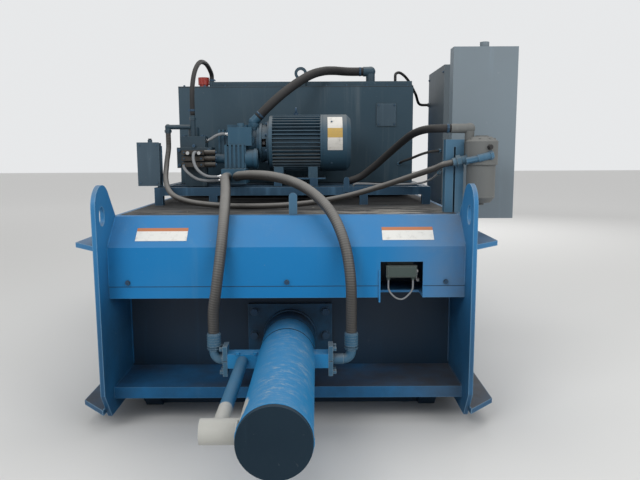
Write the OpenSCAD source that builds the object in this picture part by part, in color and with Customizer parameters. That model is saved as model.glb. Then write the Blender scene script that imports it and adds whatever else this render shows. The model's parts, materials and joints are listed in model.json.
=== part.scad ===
// Horizontal closed-door baler with a deck-mounted hydraulic power unit.
// X runs across the body, Y from the cylinder end to the bale door, Z up from the floor.
// The origin is on the floor under the bulkhead that carries the cylinder.

/* [Body] */
// Width across the outer faces of the side plates
body_w = 1836; // [1500:2:2300]
// Thickness of the side plates
side_t = 22; // [16:1:32]
// Length of the side plates from the bulkhead to the bale door
body_len = 3700; // [3300:10:4600]
// Length of the side plates behind the bulkhead
rear_len = 490; // [440:5:700]
// Height of the lower edge of the side plates
plate_z = 70; // [60:1:100]
// Height of the top face of the floor plate
floor_z = 202; // [182:1:260]
// Thickness of the floor plate
floor_t = 20; // [12:1:30]
// Clear height of the bale chamber
chamber_h = 762; // [700:2:820]
// Thickness of the roof plate
roof_t = 16; // [10:1:24]
// Height of the beams between roof plate and deck
roof_beam_h = 78; // [60:1:120]
// Thickness of the deck plate
deck_t = 14; // [8:1:20]
// Thickness of the bulkhead
bulkhead_t = 38; // [25:1:60]
// Radius of the round top of each lifting ear
ear_r = 110; // [80:1:130]
// Height of the lifting ear above the deck
ear_h = 172; // [150:1:240]
// Width of the slot in the lifting ear
ear_slot_w = 73; // [40:1:80]
// Height of the slot in the lifting ear
ear_slot_h = 95; // [82:1:110]

/* [Stiffeners] */
// Reach of the horizontal stiffeners beyond the side plates
wing_w = 142; // [100:1:200]
// Thickness of the horizontal stiffeners
wing_t = 25; // [15:1:35]
// Height of the top face of the lower stiffener
wing_low_z = 126; // [110:1:160]
// Height of the top face of the upper stiffener
wing_high_z = 955; // [860:1:980]
// Thickness of the upright ribs
rib_t = 20; // [10:1:30]
// Reach of the upright ribs
rib_w = 105; // [60:1:130]
// Distance from rib to rib
rib_pitch = 440; // [300:10:600]

/* [Cylinder end] */
// Distance of the cover face behind the front edge of the side plates
cover_in = 140; // [80:1:200]
// Height of the bend between the upright face and the slope
cover_bend_z = 930; // [880:1:980]
// Depth of the slope from the bend to the deck
cover_slope_y = 150; // [100:1:200]
// Thickness of the cover plate
cover_t = 12; // [8:1:16]
// Height of the lower edge of the beam
beam_z = 670; // [640:1:700]
// Height of the lower strip of the beam
strip_h = 61; // [40:1:80]
// Left edge of the notch for the limit switch
notch_x = 471; // [420:1:520]
// Width of the notch for the limit switch
notch_w = 214; // [200:1:260]
// Height of the top of the notch
notch_z = 853; // [840:1:880]
// Height of the turned-down lip of the shelf
lip_h = 59; // [40:1:75]

/* [Cylinder] */
// Outer diameter of the barrel
barrel_d = 280; // [260:1:320]
// Wall of the barrel
barrel_t = 22; // [15:1:30]
// Height of the cylinder axis
cyl_z = 385; // [370:1:400]
// Length of the barrel behind the bulkhead
barrel_out = 1370; // [1320:5:1500]
// Length of the barrel and gland inside the bulkhead
barrel_in = 130; // [120:1:150]
// Thickness of the blind cap
cap_t = 25; // [20:1:40]
// Diameter of the piston rod
rod_d = 150; // [120:1:170]
// Length of the piston
piston_l = 60; // [40:1:90]
// Distance from the cap to the parked piston
piston_park = 140; // [125:1:150]
// Travel of the ram
stroke = 1200; // [900:10:1200]
// Width of the mounting flange
flange_w = 468; // [400:1:520]
// Height of the mounting flange
flange_h = 350; // [320:1:360]
// Thickness of the mounting flange
flange_t = 30; // [20:1:45]
// Diameter of the pin through the rod eye
rod_pin_d = 70; // [50:1:80]
// Diameter of the port boss at the cap
boss_d = 96; // [80:1:110]
// Reach of the port boss from the cylinder axis
boss_x = 279; // [250:1:300]
// Diameter of the hard pipe
pipe_d = 58; // [40:1:70]
// Distance of the hard pipe from the cylinder axis
pipe_x = 215; // [200:1:220]

/* [Ram] */
// Length of the ram from its back plate to the platen face
ram_len = 1230; // [1150:5:1300]
// Clearance of the ram to the side plates
ram_gap = 5; // [3:0.5:8]
// Thickness of the platen
platen_t = 40; // [30:1:60]
// Wall of the ram box
ram_t = 16; // [10:1:25]
// Thickness of the wear strips
wear_t = 12; // [8:1:20]
// Width of the tie grooves and tie slots
tie_w = 32; // [20:1:45]
// Number of tie grooves and tie slots
tie_n = 5; // [3:1:6]
// Start of the charge opening, measured from the bulkhead
charge_y = 1600; // [1590:5:1680]
// Length of the charge opening
charge_len = 900; // [800:5:1000]
// Height of the shear knives
knife_h = 60; // [40:1:80]

/* [Bale door] */
// Thickness of the door plate
door_t = 25; // [16:1:30]
// Depth of the channels across the door
door_rib_d = 120; // [80:1:160]
// Diameter of the hinge pin and of the latch shaft
hinge_d = 50; // [40:1:56]
// Distance of the hinge axis outside the side plate
hinge_out = 52; // [50:1:60]
// Length of the latch hooks
hook_len = 150; // [120:1:170]
// Length of the latch handle
latch_len = 420; // [300:5:500]

/* [Hopper] */
// Height of the hopper rim above the deck
hopper_h = 710; // [650:5:760]
// Flare of the hopper rim towards the bale door
hopper_flare = 220; // [100:5:300]
// Wall of the hopper
hopper_t = 6; // [4:1:10]
// Width of the hopper access door
access_w = 500; // [400:5:560]
// Height of the hopper access door
access_h = 400; // [300:5:440]

/* [Power unit] */
// Width of the base frame
unit_w = 1720; // [1690:5:1750]
// Distance of the front rail from the bulkhead
unit_y = 470; // [440:5:500]
// Height of the rail tops above the deck
unit_h = 110; // [90:1:130]
// Height of the frame rails
rail_h = 50; // [40:1:60]
// Width of the oil tank
tank_w = 1640; // [1400:5:1690]
// Depth of the oil tank
tank_d = 500; // [400:5:510]
// Height of the oil tank
tank_h = 666; // [560:2:680]
// Distance of the tank from the bulkhead
tank_y = 1040; // [1020:5:1060]
// Wall of the oil tank
tank_t = 5; // [3:1:8]
// Diameter of the filler cap
filler_d = 79; // [60:1:100]

/* [Motor and pump] */
// Diameter of the motor over its cooling fins
motor_d = 366; // [320:2:390]
// Length of the finned motor body
motor_len = 340; // [300:2:360]
// Length of the fan cowl
cowl_len = 181; // [140:1:200]
// Height of the motor axis above the rails
motor_rise = 275; // [250:1:300]
// Distance of the motor axis from the bulkhead
motor_y = 740; // [720:1:760]
// Number of cooling fins
fin_n = 44; // [24:2:48]
// Diameter of the motor shaft
shaft_d = 48; // [38:1:60]
// Diameter of the bell housing
bell_d = 240; // [200:2:260]
// Length of the bell housing
bell_len = 64; // [60:1:80]

/* [Filters and enclosures] */
// Diameter of the return filter bowl
bowl_d = 150; // [120:1:160]
// Height of the underside of the return filter bowl
bowl_z = 1115; // [1090:1:1160]
// Height of the return filter with its head
filter_h = 366; // [330:1:380]
// Width of the operator panel
panel_w = 362; // [300:2:380]
// Height of the operator panel
panel_h = 962; // [860:2:980]
// Depth of the operator panel
panel_d = 90; // [70:1:120]
// Width of the starter cabinet
cabinet_w = 600; // [500:5:640]
// Height of the starter cabinet
cabinet_h = 966; // [860:2:980]
// Depth of the starter cabinet
cabinet_d = 250; // [220:5:300]
// Distance of the starter cabinet from the side plate
cabinet_gap = 104; // [60:2:108]
// Sheet thickness of the panel and the cabinet
sheet_t = 3; // [2:0.5:4]
// Diameter of the emergency stop head
stop_d = 60; // [40:1:64]

/* [Hoses] */
// Outer diameter of the two main hoses
main_hose_d = 54; // [40:1:60]
// Outer diameter of the suction hose
suction_hose_d = 60; // [40:1:64]
// Outer diameter of the return hose
return_hose_d = 32; // [24:1:36]
// Outer diameter of the filter hose
filter_hose_d = 44; // [30:1:48]

/* [Hidden] */
$fn = 48;

blue = [0.13, 0.38, 0.62];
light_blue = [0.35, 0.52, 0.68];
dark_blue = [0.08, 0.16, 0.25];
steel = [0.62, 0.63, 0.64];
grey_primer = [0.62, 0.62, 0.6];
rubber_brown = [0.3, 0.27, 0.24];

seat = 0.3;
run_gap = 0.05;
hw = body_w / 2;
inner_x = hw - side_t;
y_rear = -rear_len;
y_cover = y_rear + cover_in;
y_slope_end = y_cover + cover_slope_y;
roof_z = floor_z + chamber_h;
deck_z = roof_z + roof_t + roof_beam_h + deck_t;
charge_end = charge_y + charge_len;
barrel_r = barrel_d / 2;
bore_r = barrel_r - barrel_t;
y_cap = -barrel_out;
y_port = y_cap + cap_t + piston_park / 2 + 9;
y_piston = y_cap + cap_t + piston_park - 25;
cover_bolt_x = [-800, 0, 800];
cover_bolt_af = 18;
flange_bolt_af = 36;
flange_bolt_x = flange_w / 2 - 36;
flange_bolt_z = flange_h / 2 - 40;
pin_y = barrel_in + 100;
eye_r = 78;
eye_w = 90;
lug_t = 30;
ram_y = pin_y + 100;
ram_front = ram_y + ram_len;
ram_x = inner_x - ram_gap;
ram_z = floor_z + seat + wear_t;
ram_top = roof_z - 4;
door_y = body_len + seat;
door_x = hw - 13;
hinge_x = hw + hinge_out;
hinge_y = body_len + 15;
hinge_r = hinge_d / 2;
door_z0 = floor_z - 12;
door_z1 = roof_z + roof_t + 20;
knuckle_r = hinge_r + 10;
rail_z = deck_z + unit_h;
tank_x = 8 - tank_w / 2;
filler_x = tank_x + 165;
return_stub_x = tank_x + 227;
elbow_x = tank_x + tank_w - 288;
conduit_stub_x = tank_x + tank_w - 103;
elbow_z = 1966;
motor_z = rail_z + motor_rise;
motor_x = -152;
motor_end = motor_x + motor_len;
cowl_end = motor_end + cowl_len;
bell_x = motor_x - bell_len;
filter_x = 1026;
filter_y = -90;
post_x = 843;
post_w = 98;
side_gap = 3;
panel_x = hw + side_gap;
panel_y = 165;
panel_z = wing_high_z + 60;
cabinet_x = hw + cabinet_gap;
cabinet_y = 934;
cabinet_z = panel_z;
small_pin_r = 5;
small_knuckle_r = 11;
block_y = -450;
fitting_z0 = cyl_z + 45;
left_fit_x = -358;
right_fit_x = 320;
ferrule_h = 86;
knuckle_z = [330, 700];
access_y = charge_y + 200;
access_z = deck_z + 170;

// Points of the hose centre lines, laid by hand from fitting to fitting.
left_route = [
    [-400, 440, 1248], [-400, 370, 1248], [-389, 260, 1241], [-367, 130, 1226],
    [-340, -55, 1187], [-324, -195, 1132], [-317, -298, 1062], [-318, -372, 965],
    [-327, -418, 855], [-342, -443, 730], [-358, -450, 605], [-358, -450, 516]
];
right_route = [
    [-330, 440, 1252], [-330, 380, 1252], [-300, 280, 1261], [-215, 160, 1270],
    [-90, 40, 1265], [40, -82, 1235], [145, -195, 1177], [228, -300, 1092], [284, -385, 970],
    [310, -430, 845], [320, -450, 700], [320, -450, 516]
];
return_route = [
    [-800, 640, 1520], [-800, 640, 1450], [-803, 585, 1335], [-785, 470, 1225],
    [-725, 355, 1150], [-610, 275, 1111], [-430, 210, 1094], [-200, 172, 1090],
    [50, 176, 1101], [290, 190, 1137], [510, 150, 1199], [690, 35, 1268], [790, -62, 1310],
    [831, -90, 1331], [874, -90, 1341]
];
suction_route = [
    [-231, 740, 1625], [-187, 740, 1669], [-130, 754, 1724], [-62, 788, 1785],
    [22, 846, 1853], [118, 935, 1918], [203, 1030, 1952], [275, 1105, 1964],
    [348, 1163, 1966], [420, 1185, 1966], [488, 1185, 1966]
];
filter_route = [
    [330, 545, 1206], [400, 530, 1230], [495, 483, 1296], [585, 404, 1382], [655, 300, 1453],
    [703, 188, 1498], [752, 62, 1518], [820, -50, 1520], [870, -50, 1520]
];
tank_route = [
    [-640, 640, 1632], [-640, 640, 1730], [-638, 710, 1890], [-622, 830, 1985],
    [-601, 960, 1996], [-587, 1075, 1953], [-585, 1100, 1920], [-585, 1100, 1892]
];
switch_route = [
    [515, -316, 756], [515, -316, 716], [540, -322, 672], [580, -326, 655], [616, -322, 676],
    [640, -316, 716], [640, -316, 756]
];
conduit_route = [
    [725, 1240, 1902], [725, 1240, 1944], [760, 1272, 1968], [830, 1340, 1925],
    [900, 1415, 1830], [962, 1480, 1750], [1006, 1480, 1750]
];

// Vector, tangent and carried side vector used to sweep a tube along a route.
function unit(v) = v / norm(v);
function along(p, i) = unit(p[min(i + 1, len(p) - 1)] - p[max(i - 1, 0)]);
function carry(p, i, n) =
    let (t = along(p, i), m = unit(n - t * (n * t)))
    i == len(p) - 1 ? [m] : concat([m], carry(p, i + 1, m));

module swept_tube(p, d, n = [1, 0.13, 0.07], sides = 8) {
    rows = carry(p, 0, n);
    last = len(p) - 1;
    rings = [
        for (i = [0:last])
            for (k = [0:sides - 1])
                let (a = 360 * k / sides, w = cross(along(p, i), rows[i]))
                p[i] + d / 2 * (cos(a) * rows[i] + sin(a) * w)
    ];
    walls = [
        for (i = [0:last - 1])
            for (k = [0:sides - 1])
                for (half = [0, 1])
                    let (q = (k + 1) % sides, b = i * sides, t = b + sides)
                    half == 0 ? [b + k, t + k, t + q] : [b + k, t + q, b + q]
    ];
    caps = [
        [for (k = [0:sides - 1]) k],
        [for (k = [sides - 1:-1:0]) last * sides + k]
    ];
    polyhedron(points = rings, faces = concat(walls, caps), convexity = 10);
}

module along_y(r, y0, y1) {
    translate([0, y0, 0])
        rotate([-90, 0, 0])
            cylinder(r = r, h = y1 - y0, $fn = 64);
}

module along_x(r, x0, x1) {
    translate([x0, 0, 0])
        rotate([0, 90, 0])
            cylinder(r = r, h = x1 - x0, $fn = 64);
}

module block(a, b) {
    translate(a)
        cube(b - a);
}

// Hexagon head with its washer and shank, standing on a face that looks along -Y.
module bolt_y(x, y, z, af, shank) {
    translate([x, y, z]) {
        rotate([90, 0, 0])
            cylinder(r = af * 0.72, h = 3);
        translate([0, -3, 0])
            rotate([90, 0, 0])
                cylinder(d = af / cos(30), h = af * 0.64, $fn = 6);
        rotate([-90, 0, 0])
            cylinder(r = af * 0.3, h = shank);
    }
}

// Outline of a side plate in the Y-Z plane, with its lifting ear.
module side_outline() {
    ear_c = [y_rear + ear_r, deck_z + ear_h - ear_r];
    foot = [y_slope_end + 10, deck_z];
    reach = norm(foot - ear_c);
    turn = acos(ear_r / reach) + atan2(foot[1] - ear_c[1], foot[0] - ear_c[0]);
    touch = ear_c + ear_r * [cos(turn), sin(turn)];
    difference() {
        union() {
            polygon([
                [y_rear + 90, plate_z], [y_rear, plate_z + 138], [y_rear, ear_c[1]], ear_c,
                touch, foot, [body_len, deck_z], [body_len, plate_z]
            ]);
            translate(ear_c)
                circle(r = ear_r, $fn = 72);
        }
        // The body narrows over the charge opening, where the hopper stands on the roof line.
        translate([charge_y, roof_z + roof_t])
            square([body_len - charge_y + 1, deck_z]);
        slot_c = [y_rear + 90, deck_z + 20];
        for (s = [-1, 1])
            translate(slot_c + [0, s * (ear_slot_h - ear_slot_w) / 2])
                circle(d = ear_slot_w, $fn = 48);
        translate(slot_c - [ear_slot_w / 2, (ear_slot_h - ear_slot_w) / 2])
            square([ear_slot_w, ear_slot_h - ear_slot_w]);
    }
}

module side_plates() {
    color(blue)
        for (s = [-1, 1])
            translate([s > 0 ? inner_x : -hw, 0, 0])
                rotate([90, 0, 90])
                    linear_extrude(side_t)
                        side_outline();
}

// Plan of one horizontal stiffener on the +X side, with both ends cut at an angle.
module wing_plan() {
    polygon([
        [hw, y_rear + 20], [hw + wing_w, y_rear + 20 + wing_w],
        [hw + wing_w, body_len - 140], [hw, body_len - 5]
    ]);
}

module hinge_lug(z, h) {
    difference() {
        union() {
            block([hw, hinge_y - 110, z], [hinge_x + 10, hinge_y - 5, z + h]);
            translate([hinge_x, hinge_y, z])
                cylinder(r = knuckle_r, h = h);
        }
        translate([hinge_x, hinge_y, z - 1])
            cylinder(r = hinge_r + run_gap, h = h + 2, $fn = 64);
    }
}

module side_stiffeners() {
    color(blue) {
        for (s = [0, 1])
            mirror([s, 0, 0]) {
                for (z = [wing_low_z - wing_t, wing_high_z - wing_t])
                    translate([0, 0, z])
                        linear_extrude(wing_t)
                            wing_plan();
                for (y = [160:rib_pitch:body_len - 200])
                    block([hw, y, wing_low_z + seat], [hw + rib_w, y + rib_t, wing_high_z - wing_t - seat]);
            }
        for (z = knuckle_z) {
            mirror([1, 0, 0]) {
                hinge_lug(z - 31, 30);
                hinge_lug(z + 101, 30);
            }
        }
        hinge_lug(knuckle_z[0] - 61, 30);
        hinge_lug(knuckle_z[1] + 131, 30);
    }
}

module cover_profile() {
    k = cover_t * tan(22.5);
    polygon([
        [y_cover, beam_z + strip_h], [y_cover, cover_bend_z],
        [y_slope_end, deck_z], [y_slope_end + 60, deck_z],
        [y_slope_end + 60, deck_z - cover_t], [y_slope_end + k, deck_z - cover_t],
        [y_cover + cover_t, cover_bend_z - k], [y_cover + cover_t, beam_z + strip_h]
    ]);
}

module rear_cover() {
    x = inner_x - seat;
    difference() {
        union() {
            color(blue)
                translate([-x, 0, 0])
                    rotate([90, 0, 90])
                        linear_extrude(2 * x)
                            cover_profile();
            color(blue)
                block([-x, y_cover, beam_z], [x, y_cover + 20, beam_z + strip_h]);
            color(dark_blue)
                block([-x, y_cover + 20, beam_z], [x, -1, beam_z + 12]);
        }
        block([notch_x, y_cover - 1, beam_z - 1], [notch_x + notch_w, y_cover + 120, notch_z]);
        for (x = cover_bolt_x)
            translate([x, 0, beam_z + strip_h + 20])
                along_y(cover_bolt_af * 0.3, y_cover - 1, y_cover + cover_t + 1);
    }
    color(light_blue)
        block([notch_x - 8, y_cover - 6, beam_z - 24], [notch_x, y_cover + 70, beam_z + 140]);
}

module hex_bolts() {
    color(dark_blue) {
        for (x = cover_bolt_x)
            bolt_y(x, y_cover, beam_z + strip_h + 20, cover_bolt_af, cover_t - 1);
        for (x = [-1, 1])
            for (z = [-1, 0, 1])
                bolt_y(x * flange_bolt_x, -flange_t, cyl_z + z * flange_bolt_z, flange_bolt_af, flange_t);
    }
}

module floor_plate() {
    x = inner_x - seat;
    color(blue) {
        block([-x, y_cover, floor_z - floor_t], [x, body_len, floor_z]);
        block([-x, y_cover, floor_z - lip_h], [x, y_cover + 20, floor_z - floor_t]);
    }
}

// Channel across the body, open towards -Y.
module cross_channel(x, y, w, z0, z1, t) {
    difference() {
        block([-x, y, z0], [x, y + w, z1]);
        block([-x - 1, y - 1, z0 + t], [x + 1, y + w - t, z1 - t]);
    }
}

module floor_beams() {
    color(dark_blue) {
        for (y = [500:600:body_len - 200])
            cross_channel(inner_x - seat, y, 80, plate_z + 10, floor_z - floor_t, 10);
        // Two long skids under the floor, with turned-up noses, and one cross skid at the bulkhead.
        for (s = [-1, 1])
            translate([s * 760 - 45, 0, 0])
                rotate([90, 0, 90])
                    linear_extrude(90)
                        difference() {
                            polygon([
                                [-150, 60], [-90, 0], [body_len - 110, 0], [body_len - 50, 60],
                                [body_len - 50, floor_z - floor_t], [-150, floor_z - floor_t]
                            ]);
                            for (y = [500:600:body_len - 200])
                                translate([y - seat, plate_z + 10 - seat])
                                    square([80 + 2 * seat, floor_z]);
                        }
        block([seat - 715, -60, 0], [715 - seat, 60, floor_z - floor_t]);
    }
}

module bulkhead() {
    x = inner_x - seat;
    color(dark_blue)
        difference() {
            block([-x, 0, floor_z], [x, bulkhead_t, roof_z]);
            translate([0, 0, cyl_z])
                along_y(barrel_r + seat, -1, bulkhead_t + 1);
        }
}

module roof() {
    x = inner_x - seat;
    color(blue) {
        block([-x, 0, roof_z], [x, charge_y, roof_z + roof_t]);
        block([-x, charge_end, roof_z], [x, body_len, roof_z + roof_t]);
        for (y = [60:380:charge_y - 90])
            cross_channel(x, y, 70, roof_z + roof_t, deck_z - deck_t, 8);
        for (y = [charge_end + 180:300:body_len - 90])
            cross_channel(x, y, 90, roof_z + roof_t, roof_z + roof_t + 130, 12);
    }
}

module deck_plate() {
    x = inner_x - seat;
    color([0.45, 0.42, 0.38])
        block([-x, y_slope_end + 60 + seat, deck_z - deck_t], [x, charge_y, deck_z]);
}

module fixed_knife() {
    color(steel)
        difference() {
            block([-ram_x, charge_end - 30, roof_z - 3.5], [ram_x, charge_end - seat, roof_z + roof_t]);
            for (x = [-800:400:800])
                translate([x, charge_end - 15, roof_z - 5])
                    cylinder(r = 7, h = 40);
        }
}

module hopper_outline() {
    polygon([
        [charge_y + 6, roof_z + roof_t], [charge_y + 6, deck_z + hopper_h],
        [charge_end - 6 + hopper_flare, deck_z + hopper_h],
        [charge_end - 6, deck_z + 180], [charge_end - 6, roof_z + roof_t]
    ]);
}

module hopper() {
    x = hw - 30;
    hx = x + hopper_t;
    color(blue) {
        difference() {
            translate([-hx, 0, 0])
                rotate([90, 0, 90])
                    linear_extrude(2 * hx)
                        hopper_outline();
            translate([-x, 0, 0])
                rotate([90, 0, 90])
                    linear_extrude(2 * x)
                        hopper_hollow();
            block([hx - 20, access_y + 20, access_z + 20],
                [hx + 1, access_y + access_w - 20, access_z + access_h - 20]);
        }
        for (z = [access_z + 40, access_z + access_h - 100])
            difference() {
                union() {
                    block([hx, access_y - 40, z - 21], [hx + 12, access_y - 12, z]);
                    translate([hx + 14, access_y - 12, z - 21])
                        cylinder(r = small_knuckle_r, h = 21);
                }
                translate([hx + 14, access_y - 12, z - 22])
                    cylinder(r = small_pin_r + run_gap, h = 23);
            }
    }
}

// Inner outline of the hopper, one wall inside hopper_outline and open at rim and foot.
module hopper_hollow() {
    polygon([
        [charge_y + 6 + hopper_t, roof_z], [charge_y + 6 + hopper_t, deck_z + hopper_h + 1],
        [charge_end - 6 + hopper_flare - hopper_t, deck_z + hopper_h + 1],
        [charge_end - 6 + hopper_flare - hopper_t, deck_z + hopper_h],
        [charge_end - 6 - hopper_t, deck_z + 180], [charge_end - 6 - hopper_t, roof_z]
    ]);
}

module hopper_door() {
    hx = hw - 30 + hopper_t;
    color(blue)
        union() {
            block([hx + seat, access_y, access_z], [hx + seat + 5, access_y + access_w, access_z + access_h]);
            for (z = [access_z + 40, access_z + access_h - 100])
                difference() {
                    union() {
                        block([hx + seat, access_y - 12, z + 1], [hx + 6, access_y + 40, z + 41]);
                        translate([hx + 14, access_y - 12, z + 1])
                            cylinder(r = small_knuckle_r, h = 40);
                    }
                    translate([hx + 14, access_y - 12, z])
                        cylinder(r = small_pin_r + run_gap, h = 42);
                }
            translate([hx + seat + 5, access_y + access_w - 60, access_z + access_h / 2 - 60])
                handle(120);
        }
}

// Bar handle standing 35 mm off a face that looks along +X, upright over its length.
module handle(len) {
    for (z = [8, len - 8])
        translate([-1, 0, z])
            rotate([0, 90, 0])
                cylinder(r = 6, h = 36);
    translate([35, 0, 0])
        cylinder(r = 8, h = len);
}

module hinge_pins() {
    hx = hw - 30 + hopper_t;
    color(steel) {
        for (z = knuckle_z) {
            translate([-hinge_x, hinge_y, z - 31])
                cylinder(r = hinge_r, h = 162, $fn = 64);
            translate([-hinge_x, hinge_y, z + 131])
                cylinder(r = hinge_r + 6, h = 10);
        }
        for (z = [access_z + 40, access_z + access_h - 100]) {
            translate([hx + 14, access_y - 12, z - 21])
                cylinder(r = small_pin_r, h = 62);
            translate([hx + 14, access_y - 12, z + 41 + seat])
                cylinder(r = small_pin_r + 2, h = 4);
        }
    }
}

module cylinder_flange() {
    color(light_blue)
        difference() {
            block([-flange_w / 2, -flange_t, cyl_z - flange_h / 2],
                [flange_w / 2, 0, cyl_z + flange_h / 2]);
            translate([0, 0, cyl_z])
                along_y(barrel_r, -flange_t - 1, 1);
            for (x = [-1, 1])
                for (z = [-1, 0, 1])
                    translate([x * flange_bolt_x, 0, cyl_z + z * flange_bolt_z])
                        along_y(flange_bolt_af * 0.3, -flange_t - 1, 1);
        }
}

module cylinder_barrel() {
    color(light_blue)
        translate([0, 0, cyl_z])
            difference() {
                union() {
                    along_y(barrel_r, y_cap + cap_t, barrel_in - 20);
                    along_y(barrel_r + 8, -flange_t - 22, -flange_t);
                }
                along_y(bore_r, y_cap + cap_t - 1, barrel_in);
                translate([-barrel_r - 20, y_port, 0])
                    along_x(18, 0, barrel_r);
            }
}

module cylinder_cap() {
    color(dark_blue)
        translate([0, 0, cyl_z]) {
            along_y(barrel_r, y_cap, y_cap + cap_t);
            along_y(bore_r - seat, y_cap + cap_t, y_cap + cap_t + 25);
        }
}

module cylinder_gland() {
    color(dark_blue)
        translate([0, 0, cyl_z])
            difference() {
                union() {
                    along_y(barrel_r + 6, barrel_in - 20, barrel_in);
                    along_y(bore_r - seat, barrel_in - 70, barrel_in - 20);
                }
                along_y(rod_d / 2 + seat, barrel_in - 71, barrel_in + 1);
            }
}

module piston() {
    color(steel)
        translate([0, y_piston, cyl_z])
            rotate([-90, 0, 0])
                rotate_extrude($fn = 64)
                    polygon([
                        [0, 0], [bore_r - 4, 0], [bore_r - seat, 6], [bore_r - seat, 18],
                        [bore_r - 5, 18], [bore_r - 5, 26], [bore_r - seat, 26],
                        [bore_r - seat, piston_l - 6], [bore_r - 4, piston_l], [0, piston_l]
                    ]);
}

module piston_rod() {
    color([0.8, 0.81, 0.82])
        translate([0, 0, cyl_z])
            difference() {
                union() {
                    along_y(rod_d / 2, y_piston + piston_l, pin_y - 72);
                    intersection() {
                        union() {
                            along_y(rod_d / 2, pin_y - 73, pin_y);
                            translate([0, pin_y, 0])
                                along_x(eye_r, -eye_w / 2, eye_w / 2);
                        }
                        block([-eye_w / 2, pin_y - 72, -eye_r], [eye_w / 2, pin_y + eye_r, eye_r]);
                    }
                }
                translate([0, pin_y, 0])
                    along_x(rod_pin_d / 2 + run_gap, -eye_w, eye_w);
            }
}

module rod_pin() {
    half = eye_w / 2 + 2 + lug_t;
    color(steel)
        translate([0, pin_y, cyl_z]) {
            along_x(rod_pin_d / 2, -half - 4, half + 4);
            along_x(rod_pin_d / 2 + 8, half + seat, half + 12);
            along_x(rod_pin_d / 2 + 8, -half - 12, -half - seat);
        }
}

module ram_body() {
    y1 = ram_front - platen_t;
    x = ram_x - 1;
    color([0.28, 0.3, 0.33])
        union() {
            difference() {
                block([-x, ram_y, ram_z], [x, y1, ram_top]);
                block([-x + ram_t, ram_y + ram_t, ram_z + ram_t], [x - ram_t, y1 + 1, ram_top - ram_t]);
            }
            for (s = [-1, 1]) {
                block([s * x * 0.5 - 8, ram_y + ram_t - 1, ram_z + ram_t - 1],
                    [s * x * 0.5 + 8, y1, ram_top - ram_t + 1]);
                block([s * x * 0.78 - 60, ram_y + 40, floor_z + seat], [s * x * 0.78 + 60, y1 - 20, ram_z]);
                difference() {
                    x0 = s > 0 ? eye_w / 2 + 2 : -eye_w / 2 - 2 - lug_t;
                    union() {
                        block([x0, pin_y, cyl_z - 65], [x0 + lug_t, ram_y, cyl_z + 65]);
                        translate([0, pin_y, cyl_z])
                            along_x(65, x0, x0 + lug_t);
                    }
                    translate([0, pin_y, cyl_z])
                        along_x(rod_pin_d / 2 + run_gap, x0 - 1, x0 + lug_t + 1);
                }
            }
        }
}

function tie_x(i) = (i - (tie_n - 1) / 2) * (1.7 * inner_x / tie_n);

module ram_platen() {
    color([0.42, 0.42, 0.43])
        difference() {
            block([-ram_x, ram_front - platen_t, ram_z], [ram_x, ram_front, ram_top]);
            for (i = [0:tie_n - 1])
                block([tie_x(i) - tie_w / 2, ram_front - platen_t + 12, ram_z - 1],
                    [tie_x(i) + tie_w / 2, ram_front + 1, ram_top + 1]);
            block([-ram_x - 1, ram_front - 24 - seat, ram_top - knife_h - seat],
                [ram_x + 1, ram_front + 1, ram_top + 1]);
        }
}

module ram_knife() {
    color(steel)
        difference() {
            block([-ram_x, ram_front - 24, ram_top - knife_h], [ram_x, ram_front, ram_top]);
            for (x = [-800:200:800])
                translate([x, 0, ram_top - knife_h / 2])
                    along_y(9, ram_front - 12, ram_front + 1);
            for (i = [0:tie_n - 1])
                block([tie_x(i) - tie_w / 2, ram_front - 12, ram_top - knife_h - 1],
                    [tie_x(i) + tie_w / 2, ram_front + 1, ram_top + 1]);
        }
}

module door_channel(z) {
    difference() {
        block([-door_x + 20, door_y + door_t, z], [door_x - 130, door_y + door_t + door_rib_d, z + 70]);
        block([-door_x + 19, door_y + door_t + 12, z + 10],
            [door_x - 129, door_y + door_t + door_rib_d - 10, z + 60]);
    }
}

module bale_door() {
    color(blue)
        union() {
            difference() {
                block([-door_x, door_y, door_z0], [door_x, door_y + door_t, door_z1]);
                for (i = [0:tie_n - 1])
                    for (z = [[door_z0 + 120, cyl_z + 155], [cyl_z + 245, door_z1 - 130]])
                        block([tie_x(i) - tie_w / 2, door_y - 1, z[0]],
                            [tie_x(i) + tie_w / 2, door_y + door_t + 1, z[1]]);
            }
            door_channel(door_z0 + 40);
            door_channel(cyl_z + 165);
            door_channel(door_z1 - 120);
            for (z = knuckle_z)
                difference() {
                    union() {
                        block([-hinge_x, door_y + 2, z], [-door_x + 30, door_y + door_t, z + 100]);
                        translate([-hinge_x, hinge_y, z])
                            cylinder(r = knuckle_r, h = 100);
                    }
                    translate([-hinge_x, hinge_y, z - 1])
                        cylinder(r = hinge_r + run_gap, h = 102, $fn = 64);
                }
        }
}

module door_latch() {
    z0 = knuckle_z[0] - 61;
    z1 = knuckle_z[1] + 161;
    color([0.75, 0.6, 0.1])
        translate([hinge_x, hinge_y, 0]) {
            translate([0, 0, z0 - 8])
                cylinder(r = hinge_r, h = z1 - z0 + 10, $fn = 64);
            translate([0, 0, z1 + seat])
                cylinder(r = hinge_r + 8, h = 12);
            for (z = [knuckle_z[0] + 60, knuckle_z[1]])
                rotate([0, 0, 80])
                    block([0, -52, z], [hook_len, -12, z + 40]);
            for (z = [knuckle_z[0] + 60, knuckle_z[1]])
                translate([0, 0, z - 3])
                    cylinder(r = hinge_r + 14, h = 46);
            translate([0, 0, 560])
                cylinder(r = hinge_r + 10, h = 40);
            rotate([0, 0, -70])
                translate([20, 0, 580])
                    rotate([0, 90, 0])
                        cylinder(r = 14, h = latch_len);
            rotate([0, 0, -70])
                translate([20 + latch_len - 120, 0, 580])
                    rotate([0, 90, 0])
                        cylinder(r = 19, h = 125);
        }
}

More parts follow.
